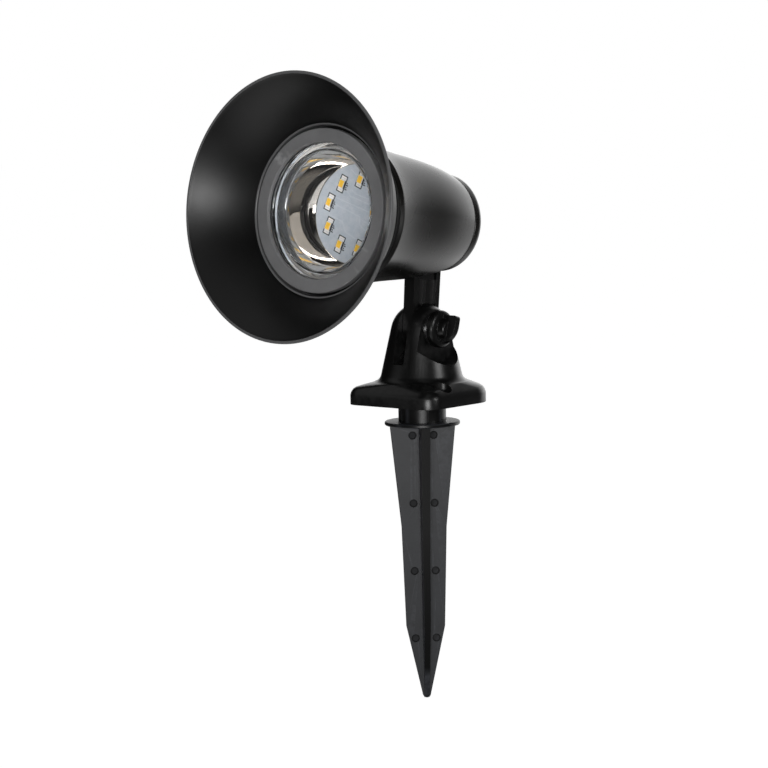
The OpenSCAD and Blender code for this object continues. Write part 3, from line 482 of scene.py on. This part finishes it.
# %% Give every node of the frame its finish
slot_of = {s["node"]: s["material_slot"] for s in frame["record"]["subparts"]}
for name, node in nodes.items():
    node.data.materials.clear()
    node.data.materials.append(finishes[slot_of[name]])
print("dressed", len(nodes), "nodes of the frame")

# %% [markdown]
# ## Turned pieces from one lathe tree
# The shade, the bezel, the lens, the bowl, the head shell and the cap are all
# round about the same axis. A screw modifier could turn them one by one, but one
# Geometry Nodes tree turns any profile and also sets its place and finish: it
# makes a grid with a row for each profile point, reads the point's radius and
# place, and wraps the row round the axis. Both trees here begin and end alike.

# %% Beginning and end of a tree
PLACING = [("Move", "NodeSocketVector", (0, 0, 0)), ("Turn", "NodeSocketVector", (0, 0, 0)),
           ("Finish", "NodeSocketMaterial", None)]


def begin_tree(name, inputs):
    """A tree with named inputs. The last ones are where the shape goes and what it is made of."""
    tree = bpy.data.node_groups.new(name, "GeometryNodeTree")
    tree.interface.new_socket("Geometry", in_out="INPUT", socket_type="NodeSocketGeometry")
    for label, kind, value in inputs + PLACING:
        socket = tree.interface.new_socket(label, in_out="INPUT", socket_type=kind)
        if value is not None:
            socket.default_value = value
    tree.interface.new_socket("Geometry", in_out="OUTPUT", socket_type="NodeSocketGeometry")
    return tree, tree.nodes.new("NodeGroupInput"), tree.nodes.new("NodeGroupOutput")


def end_tree(tree, shape, source, sink):
    """Put the shape in its place, make it real geometry and give it its finish."""
    add, link = tree.nodes.new, tree.links.new
    place = add("GeometryNodeTransform")
    link(shape, place.inputs["Geometry"])
    link(source.outputs["Move"], place.inputs["Translation"])
    link(source.outputs["Turn"], place.inputs["Rotation"])
    real = add("GeometryNodeRealizeInstances")
    link(place.outputs[0], real.inputs[0])
    finish = add("GeometryNodeSetMaterial")
    link(real.outputs[0], finish.inputs["Geometry"])
    link(source.outputs["Finish"], finish.inputs["Material"])
    link(finish.outputs[0], sink.inputs["Geometry"])


# %% The lathe tree
def make_lathe_tree():
    tree, source, sink = begin_tree(
        "lathe", [("Segments", "NodeSocketInt", 128), ("Sharp above", "NodeSocketFloat", 0.6)])
    add, link = tree.nodes.new, tree.links.new

    def calc(operation, *values):
        return math_node(tree, operation, *values)

    count = add("GeometryNodeAttributeDomainSize")
    link(source.outputs["Geometry"], count.inputs[0])
    rows = count.outputs["Point Count"]
    grid = add("GeometryNodeMeshGrid")
    link(calc("SUBTRACT", rows, 1), grid.inputs["Size X"])
    link(source.outputs["Segments"], grid.inputs["Size Y"])
    link(rows, grid.inputs["Vertices X"])
    link(calc("ADD", source.outputs["Segments"], 1), grid.inputs["Vertices Y"])
    split = add("ShaderNodeSeparateXYZ")
    link(add("GeometryNodeInputPosition").outputs[0], split.inputs[0])
    row = calc("ROUND", calc("ADD", split.outputs["X"], calc("DIVIDE", calc("SUBTRACT", rows, 1), 2)))
    angle = calc("MULTIPLY", calc("DIVIDE", split.outputs["Y"], source.outputs["Segments"]), 2 * math.pi)
    sample = add("GeometryNodeSampleIndex")
    sample.data_type = "FLOAT_VECTOR"
    link(source.outputs["Geometry"], sample.inputs["Geometry"])
    link(add("GeometryNodeInputPosition").outputs[0], sample.inputs["Value"])
    link(row, sample.inputs["Index"])
    profile = add("ShaderNodeSeparateXYZ")
    link(sample.outputs["Value"], profile.inputs[0])
    ring = add("ShaderNodeCombineXYZ")
    link(calc("MULTIPLY", profile.outputs["X"], calc("COSINE", angle)), ring.inputs["X"])
    link(profile.outputs["Y"], ring.inputs["Y"])
    link(calc("MULTIPLY", profile.outputs["X"], calc("SINE", angle)), ring.inputs["Z"])
    wrap = add("GeometryNodeSetPosition")
    link(grid.outputs["Mesh"], wrap.inputs["Geometry"])
    link(ring.outputs[0], wrap.inputs["Position"])
    merge = add("GeometryNodeMergeByDistance")
    merge.inputs["Distance"].default_value = 1e-6
    link(wrap.outputs[0], merge.inputs["Geometry"])
    soft = add("GeometryNodeSetShadeSmooth")
    link(merge.outputs[0], soft.inputs["Geometry"])
    sharp = add("GeometryNodeSetShadeSmooth")
    sharp.domain = "EDGE"
    link(soft.outputs[0], sharp.inputs["Geometry"])
    flat_enough = calc("LESS_THAN", add("GeometryNodeInputMeshEdgeAngle").outputs[0],
                       source.outputs["Sharp above"])
    link(flat_enough, sharp.inputs["Shade Smooth"])
    end_tree(tree, sharp.outputs[0], source, sink)
    return tree


lathe_tree = make_lathe_tree()
print("lathe tree", len(lathe_tree.nodes), "nodes")


# %% Modifier inputs and plain meshes
def set_inputs(modifier, **values):
    ids = {item.name: item.identifier for item in modifier.node_group.interface.items_tree
           if item.item_type == "SOCKET" and item.in_out == "INPUT"}
    for label, value in values.items():
        modifier[ids[label.replace("_", " ")]] = value


def plain_mesh(obj, name):
    bpy.context.view_layer.update()
    graph = bpy.context.evaluated_depsgraph_get()
    mesh = bpy.data.meshes.new_from_object(obj.evaluated_get(graph))
    mesh.name = name
    bpy.data.objects.remove(obj)
    return new_object(name, mesh)


def face_outwards(piece):
    work = bmesh.new()
    work.from_mesh(piece.data)
    bmesh.ops.recalc_face_normals(work, faces=work.faces)
    work.to_mesh(piece.data)
    work.free()


# %% [markdown]
# ## Profiles
# A profile is written as the section of a drawing: for each corner its radius, how
# far back it lies and how round it is. No real edge is sharp, and a corner rounded
# by a few tenths of a millimetre catches a thin line of light. Rounding the flat
# profile is quicker and cleaner than easing the finished piece.

# %% Rounding a profile's corners
def rounded(profile, steps=4):
    """profile: (radius, back, corner radius) in mm; returns (radius, back) points, each corner filleted."""
    closed = profile[0][0] > 0 and profile[-1][0] > 0
    out = []
    count = len(profile)
    for i, (r, s, fillet) in enumerate(profile):
        here = Vector((r, s))
        if fillet == 0 or (not closed and i in (0, count - 1)):
            out.append((r, s))
            continue
        a = Vector(profile[i - 1][:2]) - here
        b = Vector(profile[(i + 1) % count][:2]) - here
        turn = a.angle(b)
        reach = min(fillet / math.tan(turn / 2), 0.45 * a.length, 0.45 * b.length)
        start, end = here + a.normalized() * reach, here + b.normalized() * reach
        for k in range(steps + 1):
            t = k / steps
            point = start * (1 - t) ** 2 + here * 2 * t * (1 - t) + end * t * t
            out.append((point.x, point.y))
    if closed:
        out.append(out[0])
    return out


def turn_piece(name, profile, slot, body="head", segments=160, sharp=0.6, stands_for=()):
    points = rounded(profile)
    mesh = bpy.data.meshes.new(name + "_profile")
    legs = [(i, i + 1) for i in range(len(points) - 1)]
    mesh.from_pydata([(r * MM, s * MM, 0) for r, s in points], legs, [])
    blank = new_object(name + "_profile", mesh)
    modifier = blank.modifiers.new("lathe", "NODES")
    modifier.node_group = lathe_tree
    set_inputs(modifier, Segments=segments, Sharp_above=sharp, Move=head_matrix.translation,
               Turn=(-HEAD_TILT, 0, 0), Finish=finishes[slot])
    piece = plain_mesh(blank, name)
    face_outwards(piece)
    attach(piece, body)
    for node in stands_for:
        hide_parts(node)
    print(name, len(points), "profile points,", len(piece.data.polygons), "faces")


# %% Profile helpers
SHOULDER, SHELL_LENGTH = 43.65, 68.8
stations = [SHOULDER + SHELL_LENGTH * i / 3 for i in range(4)]
station_radii = [35.3, 31.3, 28.8, 23.9]
FLARE_LIP, FLARE_RIM = Vector((41.1, 24.4)), Vector((61.7, 0.39))
FLARE_BOW = 1.4  # how far the flare's middle bows in


def shell_radius(back):
    """The shell's radius, on the one cubic curve through its four stations."""
    total = 0.0
    for i in range(4):
        term = station_radii[i]
        for j in range(4):
            if j != i:
                term *= (back - stations[j]) / (stations[i] - stations[j])
        total += term
    return total


def flare(t, out):
    """A point of the shade's flared wall, from the lip (0) to the rim (1), moved out by a distance."""
    run = FLARE_RIM - FLARE_LIP
    normal = Vector((-run.y, run.x)).normalized()
    return FLARE_LIP + run * t + normal * (out - 4 * FLARE_BOW * t * (1 - t))


print("shell radii", [round(shell_radius(station), 2) for station in stations])

# %% [markdown]
# ## The shade
# The hood has an even wall, with a turned rim in front and a short sleeve behind.
# Its flare bows in a little, which gives the long soft highlight, and the sleeve
# tapers, so that it catches a bright strip. The bow could be a curve object, but
# a formula keeps both sides of the wall exactly parallel.

# %% Turn the shade
STEPS = 24
SHADE_WALL = 1.6
shade_profile = [(33.5, 29.3, 0.2), (40.3, 29.3, 0.2), (40.3, 24.7, 0.0), (40.6, 24.4, 0.2)]
shade_profile += [(*flare(i / STEPS, 0), 0.0) for i in range(STEPS + 1)]
shade_profile += [(62.0, 0.0, 0.25), (63.0, 0.0, 0.3), (63.3, 0.35, 0.2), (63.3, 0.95, 0.2), (62.9, 1.3, 0.2)]
shade_profile += [(*flare(i / STEPS, SHADE_WALL), 0.0) for i in range(STEPS - 1, 0, -1)]
shade_profile += [(42.9, 25.4, 0.5), (41.2, 30.4, 0.2), (41.0, 30.7, 0.1), (33.5, 30.7, 0.2)]
turn_piece("shade_hood", shade_profile, "shade_black", segments=200, stands_for=["shade"])

# %% [markdown]
# ## The bezel, the lens and the bowl
# A flat grey ring holds the lens in the hood. The lens is one moulding, a disc with
# a thick clear skirt behind it, and is a closed solid here too, because light has
# to bend on its way in and again on its way out. Behind it sits a thin bowl with a
# bright metal coat. A bowl on a true quarter curve mirrors the board as one wide
# band, so its wall is opened part of the way to a straight cone.

# %% Turn the bezel ring
bezel_profile = [(32.5, 23.5, 0.1), (38.2, 23.5, 0.25), (38.62, 23.68, 0.15), (38.8, 24.1, 0.25),
                 (38.8, 27.1, 0.1), (37.6, 27.1, 0.1), (37.6, 25.5, 0.1), (35.85, 25.5, 0.1),
                 (35.85, 29.25, 0.1), (33.45, 29.25, 0.1), (33.45, 25.5, 0.1), (32.1, 25.5, 0.1),
                 (32.1, 23.9, 0.1)]
turn_piece("bezel", bezel_profile, "bezel_grey", stands_for=["bezel_ring"])

# %% Turn the lens
lens_profile = [(0, 25.6, 0), (33.3, 25.6, 0.1), (33.3, 27.0, 0.1), (31.8, 27.0, 0.1), (31.8, 35.1, 0.3),
                (29.3, 35.1, 0.3), (29.3, 28.6, 0), (29.0, 27.9, 0.4), (28.3, 27.6, 0.4), (0, 27.6, 0)]
turn_piece("clear_lens", lens_profile, "clear", stands_for=["lens"])

# %% Turn the reflector bowl
BOWL_STEPS = 24
BOWL_FLOOR = Vector((23.1, 49.2))  # radius and place of the bowl's narrow end
BOWL_WIDER, BOWL_DEPTH = 7.7, 14
CONE_SHARE = 0.6  # how far the curve is opened towards a straight cone


def bowl(i, out):
    """A point of the bowl's wall, from the narrow end (0) to the wide end, moved out by a distance."""
    a = math.radians(90 * i / BOWL_STEPS)
    normal = Vector((BOWL_DEPTH * math.sin(a), BOWL_WIDER * math.cos(a))).normalized()
    curve = Vector((BOWL_FLOOR.x + BOWL_WIDER * math.sin(a), BOWL_FLOOR.y - BOWL_DEPTH * (1 - math.cos(a))))
    cone = Vector((BOWL_FLOOR.x + BOWL_WIDER * i / BOWL_STEPS, BOWL_FLOOR.y - BOWL_DEPTH * i / BOWL_STEPS))
    return curve.lerp(cone, CONE_SHARE) + normal * out


bowl_profile = [(*bowl(i, 0), 0.0) for i in range(BOWL_STEPS + 1)]
bowl_profile += [(*bowl(i, 1), 0.0) for i in range(BOWL_STEPS, 5, -1)]
bowl_profile += [(25.1, 50.0, 0.1), (25.1, 51.05, 0.1), (24.1, 51.05, 0.1), (24.1, 49.3, 0.1),
                 (23.1, 49.3, 0.05)]
turn_piece("reflector_bowl", bowl_profile, "metallised", sharp=0.9, stands_for=["reflector"])

# %% [markdown]
# ## The head shell and the rear cap
# The shell is moulded with a slight swell in its taper: straight between four
# radii it would show three faint bands, so its side follows one cubic curve. The
# cap ends it in a wide rounded edge. A seam of a tenth of a millimetre stays
# between them, because a seam that is modelled shades itself.

# %% Turn the head shell
SIDES = 48
SHELL_WALL = 2.2
side = [(shell_radius(SHOULDER + SHELL_LENGTH * i / SIDES), SHOULDER + SHELL_LENGTH * i / SIDES, 0.0)
        for i in range(SIDES)]
shell_profile = [(32.0, 28.05, 0.1), (33.1, 28.05, 0), (33.4, 28.35, 0), (33.4, 30.75, 0.1),
                 (34.0, 30.75, 0.1), (34.0, 40.05, 0.1), (33.1, 40.05, 0.1), (33.1, 41.75, 0.1),
                 (34.0, 41.75, 0.1), (34.0, 42.25, 0.3)]
shell_profile += [(side[0][0], side[0][1], 0.5)] + side[1:]
shell_profile += [(23.98, 112.15, 0), (23.7, 112.45, 0), (20.6, 112.45, 0.1), (20.6, 107.0, 0.1)]
shell_profile += [(r - SHELL_WALL, s, 0) for r, s, _ in reversed(side) if r - SHELL_WALL < 32.0 and s < 106]
shell_profile += [(32.0, shell_profile[-1][1] - 1, 0)]
turn_piece("head_casing", shell_profile, "body_black", stands_for=["head_shell"])

# %% Turn the rear cap
edge = [(23.9 - 7.5 * (1 - math.cos(math.radians(a))), 115.15 + 5.8 * math.sin(math.radians(a)), 0)
        for a in range(0, 91, 6)]
cap_profile = [(4.05, 118.35, 0.1), (13, 118.35, 0.1), (13, 109.65, 0.1), (20.5, 109.65, 0.1),
               (20.5, 110.45, 0.1), (19.5, 110.45, 0.1), (19.5, 111.65, 0.1), (20.5, 111.65, 0.1),
               (20.5, 112.55, 0.1), (23.65, 112.55, 0), (23.9, 112.8, 0)]
cap_profile += edge + [(4.05, 120.95, 0.1)]
turn_piece("end_cap", cap_profile, "body_black", stands_for=["rear_cap"])

# %% [markdown]
# ## The neck ring
# A rubber ring sits in a groove just before the shell's shoulder. It bulges a
# little where it is squeezed, so its profile is a soft barrel.

# %% Turn the seal ring at the neck
seal_profile = [(33.15, 40.1, 0.1), (34.1, 40.1, 0.3), (34.35, 40.6, 0.3), (34.35, 41.2, 0.3),
                (34.1, 41.7, 0.3), (33.15, 41.7, 0.1)]
turn_piece("neck_ring", seal_profile, "seal_rubber", stands_for=["neck_seal"])

# %% [markdown]
# ## The light board
# Nine small chips sit on one circle and all lean the same way. A chip is made
# once, as a few small solids about its own middle, and one Geometry Nodes tree
# sets a copy at each place of the circle. The print of an outline, the soldered pads
# and the copper tracks under the lacquer make the board look like a real one, and
# a dark strip beside each chip is painted shadow.

# %% The chip ring tree
def make_ring_tree():
    tree, source, sink = begin_tree(
        "chip_ring", [("Count", "NodeSocketInt", 9), ("Radius", "NodeSocketFloat", 0.0163),
                      ("First angle", "NodeSocketFloat", 0.0), ("Lean", "NodeSocketFloat", 0.0)])
    add, link = tree.nodes.new, tree.links.new
    step = math_node(tree, "DIVIDE", 2 * math.pi, source.outputs["Count"])
    angle = math_node(tree, "MULTIPLY", add("GeometryNodeInputIndex").outputs[0], step)
    angle = math_node(tree, "ADD", angle, source.outputs["First angle"])
    spot = add("ShaderNodeCombineXYZ")
    for operation, axis in (("COSINE", "X"), ("SINE", "Z")):
        reach = math_node(tree, "MULTIPLY", math_node(tree, operation, angle), source.outputs["Radius"])
        link(reach, spot.inputs[axis])
    points = add("GeometryNodePoints")
    link(source.outputs["Count"], points.inputs["Count"])
    link(spot.outputs[0], points.inputs["Position"])
    lean = add("ShaderNodeCombineXYZ")
    link(source.outputs["Lean"], lean.inputs["Y"])
    copies = add("GeometryNodeInstanceOnPoints")
    link(points.outputs[0], copies.inputs["Points"])
    link(source.outputs["Geometry"], copies.inputs["Instance"])
    link(lean.outputs[0], copies.inputs["Rotation"])
    end_tree(tree, copies.outputs[0], source, sink)
    return tree


ring_tree = make_ring_tree()
print("ring tree", len(ring_tree.nodes), "nodes")


# %% Small solids of one chip
LED_COUNT, LED_CIRCLE, LED_FIRST, LED_LEAN = 9, 16.3, 81, 22  # circle in mm, angles in degrees
BOARD_FRONT = 49.4


def add_block(work, low, high, ease=0.0):
    """An eased block between two corners, in mm: across, depth from the board (minus is forward), up."""
    made = bmesh.ops.create_cube(work, size=1)["verts"]
    for vert in made:
        vert.co = Vector([(low[i] if vert.co[i] < 0 else high[i]) * MM for i in range(3)])
    if ease:
        edges = {e for v in made for e in v.link_edges}
        bmesh.ops.bevel(work, geom=list(edges), offset=ease * MM, segments=2, affect="EDGES", profile=0.5)


def bar_frame(half_wide, half_high, line, front, back, ease=0.0):
    """Four bars that frame a rectangle, each as wide as the line, between two depths."""
    bars = []
    for sign in (-1, 1):
        x0, x1 = sorted((sign * half_wide, sign * (half_wide - line)))
        z0, z1 = sorted((sign * half_high, sign * (half_high - line)))
        bars += [((x0, front, -half_high), (x1, back, half_high), ease),
                 ((-half_wide, front, z0), (half_wide, back, z1), ease)]
    return bars


def ring_of(name, blocks, finish, stands_for=()):
    work = bmesh.new()
    for block in blocks:
        add_block(work, *block)
    mesh = bpy.data.meshes.new(name + "_one")
    work.to_mesh(mesh)
    work.free()
    blank = new_object(name + "_one", mesh)
    modifier = blank.modifiers.new("ring", "NODES")
    modifier.node_group = ring_tree
    set_inputs(modifier, Count=LED_COUNT, Radius=LED_CIRCLE * MM, First_angle=math.radians(LED_FIRST),
               Lean=math.radians(LED_LEAN), Move=in_head(0, BOARD_FRONT, 0), Turn=(-HEAD_TILT, 0, 0),
               Finish=finish)
    piece = plain_mesh(blank, name)
    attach(piece, "head")
    for node in stands_for:
        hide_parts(node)
    print(name, len(piece.data.polygons), "faces")


# %% Set the chips on the board
W, H, RIM, HIGH = 2.9, 3.65, 0.13, 0.8  # a chip's width, length, rim and height
chip = [((-W / 2, -HIGH + 0.1, -H / 2), (W / 2, -0.01, H / 2), 0.06)]
chip += bar_frame(W / 2, H / 2, RIM, -HIGH, -HIGH + 0.15, 0.03)
ring_of("chip_bodies", chip, finishes["led_white"], ["led_packages"])
window = ((-W / 2 + RIM, -HIGH + 0.03, -H / 2 + RIM), (W / 2 - RIM, -HIGH + 0.12, H / 2 - RIM), 0.04)
ring_of("chip_windows", [window], finishes["led_amber"], ["led_windows"])

# %% Pads, print and a painted shadow strip round each chip
tin = moulded("tinned", (0.80, 0.76, 0.73), 0.45, 1500.0, 0.5, edge=(1, 0.95, 0.9), wear=0.3, variation=0.2)
pads = []
for sign in (-1, 1):
    for near, far in ((2.0, 2.75), (2.95, 3.7)):
        z0, z1 = sorted((sign * near, sign * far))
        pads.append(((-1.45, -0.16, z0), (1.45, -0.01, z1), 0.07))
ring_of("chip_pads", pads, tin)
ink_and_shade = moulded("board_ink_and_shade", grey(0.012), 0.5, 1500.0, 0.1, wear=0.0)
PRINT_WIDE, PRINT_HIGH, PRINT_LINE = 2.2, 4.2, 0.5  # half width and half height of the outline, and its line
print_and_shade_strips = bar_frame(PRINT_WIDE, PRINT_HIGH, PRINT_LINE, -0.04, -0.01)
# A dark strip along each chip's right side is painted shadow of the chip's shaded side.
print_and_shade_strips += [((1.45, -0.3, -1.9), (1.7, -0.01, 1.9))]
for k, z in enumerate((-2.0, -1.1, 0.0, 0.9)):
    print_and_shade_strips.append(((2.4, -0.04, z), (3.7 - 0.5 * (k % 2), -0.01, z + 0.55)))
ring_of("board_print_and_shade", print_and_shade_strips, ink_and_shade)


# %% [markdown]
# ## Copper tracks
# Copper under white lacquer shows as slightly raised lines in nearly the board's
# own colour. Flat strips that lie on the board give their thin shadow lines, which
# a painted line would not.

# %% Copper tracks under the board's lacquer
TRACK_FRONT, TRACK_BACK, TRACK_WIDTH = 0.03, 0.004, 0.55  # two depths before the board, and the width


def make_tracks(name, routes, width, finish):
    """routes: lists of (across, up) in mm on the board; each leg is a flat strip with overlapping ends."""
    work = bmesh.new()
    for route in routes:
        for a, b in zip(route, route[1:]):
            a, b = Vector(a), Vector(b)
            run = (b - a).normalized()
            off = Vector((-run.y, run.x)) * width / 2
            start, end = a - run * width / 2, b + run * width / 2
            ring = [start + off, end + off, end - off, start - off]
            front = [work.verts.new(in_head(p.x, BOARD_FRONT - TRACK_FRONT, p.y)) for p in ring]
            back = [work.verts.new(in_head(p.x, BOARD_FRONT - TRACK_BACK, p.y)) for p in ring]
            work.faces.new(front)
            work.faces.new(back[::-1])
            for i in range(4):
                j = (i + 1) % 4
                work.faces.new((front[i], back[i], back[j], front[j]))
    bmesh.ops.recalc_face_normals(work, faces=work.faces)
    mesh = bpy.data.meshes.new(name)
    work.to_mesh(mesh)
    work.free()
    mesh.materials.append(finish)
    piece = new_object(name, mesh)
    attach(piece, "head")
    print(name, len(mesh.polygons), "faces")


tracks = [
    [(-5.8, 11.0), (-3.0, 8.2), (20.5, 0.8)],
    [(-2.3, 11.1), (0.1, 9.3), (20.0, 3.6)],
    [(-11.4, 7.4), (-7.2, 6.1), (19.0, -2.4)],
    [(-12.9, 4.7), (-8.1, 3.0), (3.1, -1.2), (3.4, -5.1), (7.0, -7.7), (12.0, -7.7)],
    [(-14.9, -0.6), (-7.1, -3.6), (-5.0, -8.4), (1.0, -11.4), (8.0, -12.0)],
    [(-3.1, 20.5), (-0.6, 18.4), (5.0, 18.4)],
    [(6.0, 12.5), (14.0, 9.5), (18.5, 9.5)],
    [(5.0, -3.0), (8.0, -4.2), (8.0, -9.0)],
]
coated = moulded("coated_track", (0.50, 0.54, 0.58), 0.36, 1200.0, 0.05, wear=0.1, variation=0.04)
make_tracks("board_tracks", tracks, TRACK_WIDTH, coated)

# %% [markdown]
# ## Pieces that are right as solids
# The arm, the base, the knob and the spike are moulded shapes that the solids
# already have. A copy of each is merged, given smooth faces between its real
# edges, and its edges are eased by the radius that a mould leaves. Remeshing would
# round them too, but it would also blur the ribs and the spike's narrow edges.

# %% Soften a copy of a node
REAL_EDGE = math.radians(28)  # from this angle on, an edge is real and gets eased
EASE_SEGMENTS = 3


def soften(node, name, finish, ease):
    mesh = nodes[node].data.copy()
    piece = new_object(name, mesh)
    work = bmesh.new()
    work.from_mesh(mesh)
    bmesh.ops.remove_doubles(work, verts=work.verts, dist=1e-6)
    bmesh.ops.dissolve_limit(work, angle_limit=math.radians(0.3), verts=work.verts, edges=work.edges)
    for edge in work.edges:
        edge.smooth = not (len(edge.link_faces) == 2 and edge.calc_face_angle(0) > REAL_EDGE)
    for face in work.faces:
        face.smooth = True
    work.to_mesh(mesh)
    work.free()
    mesh.materials.clear()
    mesh.materials.append(finish)
    bevel = piece.modifiers.new("ease", "BEVEL")
    bevel.width = ease * MM
    bevel.segments = EASE_SEGMENTS
    bevel.limit_method = "ANGLE"
    bevel.angle_limit = REAL_EDGE
    bevel.harden_normals = True
    bevel.use_clamp_overlap = True
    return plain_mesh(piece, name)


def dress_copy(node, name, slot, body, ease):
    piece = soften(node, name, finishes[slot], ease)
    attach(piece, body)
    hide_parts(node)
    print(name, len(piece.data.polygons), "faces")


dress_copy("tilt_arm", "ribbed_arm", "arm_black", "head", ease=0.35)
dress_copy("base_bracket", "clevis_base", "arm_black", "base", ease=0.5)
dress_copy("wing_knob", "clamp_knob", "arm_black", "knob", ease=0.35)
dress_copy("ground_spike", "soil_spike", "spike_black", "spike", ease=0.25)

# %% [markdown]
# ## The floor
# The camera sees a plain white floor: the light it gives off lifts its grey to
# white, and the grey keeps the object's shadow. Black plastic shows little but what
# it mirrors, so reflections find something else: a dim floor with two bright
# patches, one behind the object and one small one in front.

# %% Directions
def compass(azimuth, elevation):
    """A direction: 0 is to the right (X), 90 to the back (Y), and the front is -90."""
    a, e = math.radians(azimuth), math.radians(elevation)
    return Vector((math.cos(a) * math.cos(e), math.sin(a) * math.cos(e), math.sin(e)))


def lies_towards(tree, place, way, *ends):
    """A ramp along one direction: between its first two numbers it goes from low to high."""
    return ramp_node(tree, vector_node(tree, "DOT_PRODUCT", place, way), *ends)


# %% Floor
FLOOR_GREY = (0.2, 0.2, 0.2, 1)
FLOOR_SEEN = 0.96  # what the camera adds to the grey, so that the floor ends up white
HALF_FLOOR = 6.0  # metres
UNDER = 0.0003  # metres from the lowest point down to the floor
# Each patch: from where to where it comes up, in metres, and its strengths there.
BEHIND_LEFT, BEHIND_BACK = (-0.08, 0.06, 0.0, 0.9), (0.06, 0.18)
BEFORE_NEAR, BEFORE_FAR = (0.03, 0.16, 0.0, 0.95), (0.3, 0.45, 1.0, 0.0)


def white_ground(name):
    material = bpy.data.materials.new(name)
    material.use_nodes = True
    tree = material.node_tree
    shader = tree.nodes["Principled BSDF"]
    shader.inputs["Base Color"].default_value = FLOOR_GREY
    shader.inputs["Roughness"].default_value = 0.9
    shader.inputs["Specular IOR Level"].default_value = 0.0
    shader.inputs["Emission Color"].default_value = (1, 1, 1, 1)
    seen = tree.nodes.new("ShaderNodeLightPath")
    direct = math_node(tree, "MAXIMUM", seen.outputs["Is Camera Ray"], seen.outputs["Is Transmission Ray"])
    direct = math_node(tree, "MULTIPLY", direct, FLOOR_SEEN)
    spot = object_place(tree)
    behind = math_node(tree, "MULTIPLY", lies_towards(tree, spot, compass(158, 0), *BEHIND_LEFT),
                       lies_towards(tree, spot, compass(38, 0), *BEHIND_BACK))
    before = math_node(tree, "MULTIPLY", lies_towards(tree, spot, compass(-130, 0), *BEFORE_NEAR),
                       ramp_node(tree, vector_node(tree, "LENGTH", spot), *BEFORE_FAR))
    mirrored = math_node(tree, "MULTIPLY", seen.outputs["Is Glossy Ray"],
                         math_node(tree, "MAXIMUM", behind, before))
    tree.links.new(math_node(tree, "MAXIMUM", direct, mirrored), shader.inputs["Emission Strength"])
    return material


level = cad_low[2] - UNDER
corners = [(x * HALF_FLOOR, y * HALF_FLOOR, level) for x, y in ((-1, -1), (1, -1), (1, 1), (-1, 1))]
floor_mesh = bpy.data.meshes.new("floor")
floor_mesh.from_pydata(corners, [], [(0, 1, 2, 3)])
floor = new_object("floor", floor_mesh)
floor.data.materials.append(white_ground("floor_white"))
print("floor at", round(level, 4))

# %% [markdown]
# ## The world
# The background is plain white for the camera. Reflections find a dim room with a
# large bright sheet behind the light, which draws the long highlights down the
# body, and a faint one high in front. Real sheets of cloth could stand there, but
# their edges would show in other views, and a direction in the world has no edge.

# %% World
# Each sheet: its middle, then the cosines from outside in and the strengths there.
REAR_WAY, REAR_SHEET = compass(108, 8), (0.755, 0.927, 0.01, 1.8)
REAR_FADES = (0.12, 0.5, 1.0, 0.5)  # upwards the rear sheet loses half its strength
HIGH_WAY, HIGH_SHEET = compass(-110, 50), (0.6, 0.85, 0.0, 0.35)

world = bpy.data.worlds.new("studio")
bpy.context.scene.world = world
world.use_nodes = True
sky = world.node_tree
backdrop = sky.nodes["Background"]
backdrop.inputs["Color"].default_value = (1, 1, 1, 1)
towards = sky.nodes.new("ShaderNodeTexCoord").outputs["Generated"]
height = sky.nodes.new("ShaderNodeSeparateXYZ")
sky.links.new(towards, height.inputs[0])
sheet = math_node(sky, "MULTIPLY", lies_towards(sky, towards, REAR_WAY, *REAR_SHEET),
                  ramp_node(sky, height.outputs["Z"], *REAR_FADES))
sheet = math_node(sky, "MAXIMUM", sheet, lies_towards(sky, towards, HIGH_WAY, *HIGH_SHEET))
blend = sky.nodes.new("ShaderNodeMix")
blend.inputs["B"].default_value = 1.0
sky.links.new(sky.nodes.new("ShaderNodeLightPath").outputs["Is Camera Ray"], blend.inputs["Factor"])
sky.links.new(sheet, blend.inputs["A"])
sky.links.new(blend.outputs["Result"], backdrop.inputs["Strength"])
print("world", world.name, "with", len(sky.nodes), "nodes")

# %% [markdown]
# ## The lamps
# Two soft panels, low in front and low on the right, light the pale parts and put
# a highlight on the rims. Small bare lamps would show as hard spots in the gloss,
# and a lamp high up would light the floor more than the object.

# %% Lamps
LAMP_AIM = Vector((0, -0.04, 0.08))
LAMP_DISTANCE = 1.5


def panel(name, azimuth, elevation, size, radiance):
    """A soft panel at one distance from its aim: size in metres, radiance as its brightness."""
    data = bpy.data.lights.new(name, "AREA")
    data.shape = "RECTANGLE"
    data.size, data.size_y = size
    data.energy = radiance * math.pi * size[0] * size[1]
    place = LAMP_AIM + compass(azimuth, elevation) * LAMP_DISTANCE
    turn = (LAMP_AIM - place).to_track_quat("-Z", "Y").to_matrix().to_4x4()
    new_object(name, data).matrix_world = Matrix.Translation(place) @ turn
    print(name, "at", [round(v, 2) for v in place], "power", round(data.energy, 2))


panel("key_front", -50, 1, (0.6, 0.3), 17.0)
panel("rim_right", 4, 16, (0.4, 0.3), 9.0)
bpy.context.scene.view_settings.view_transform = "Standard"
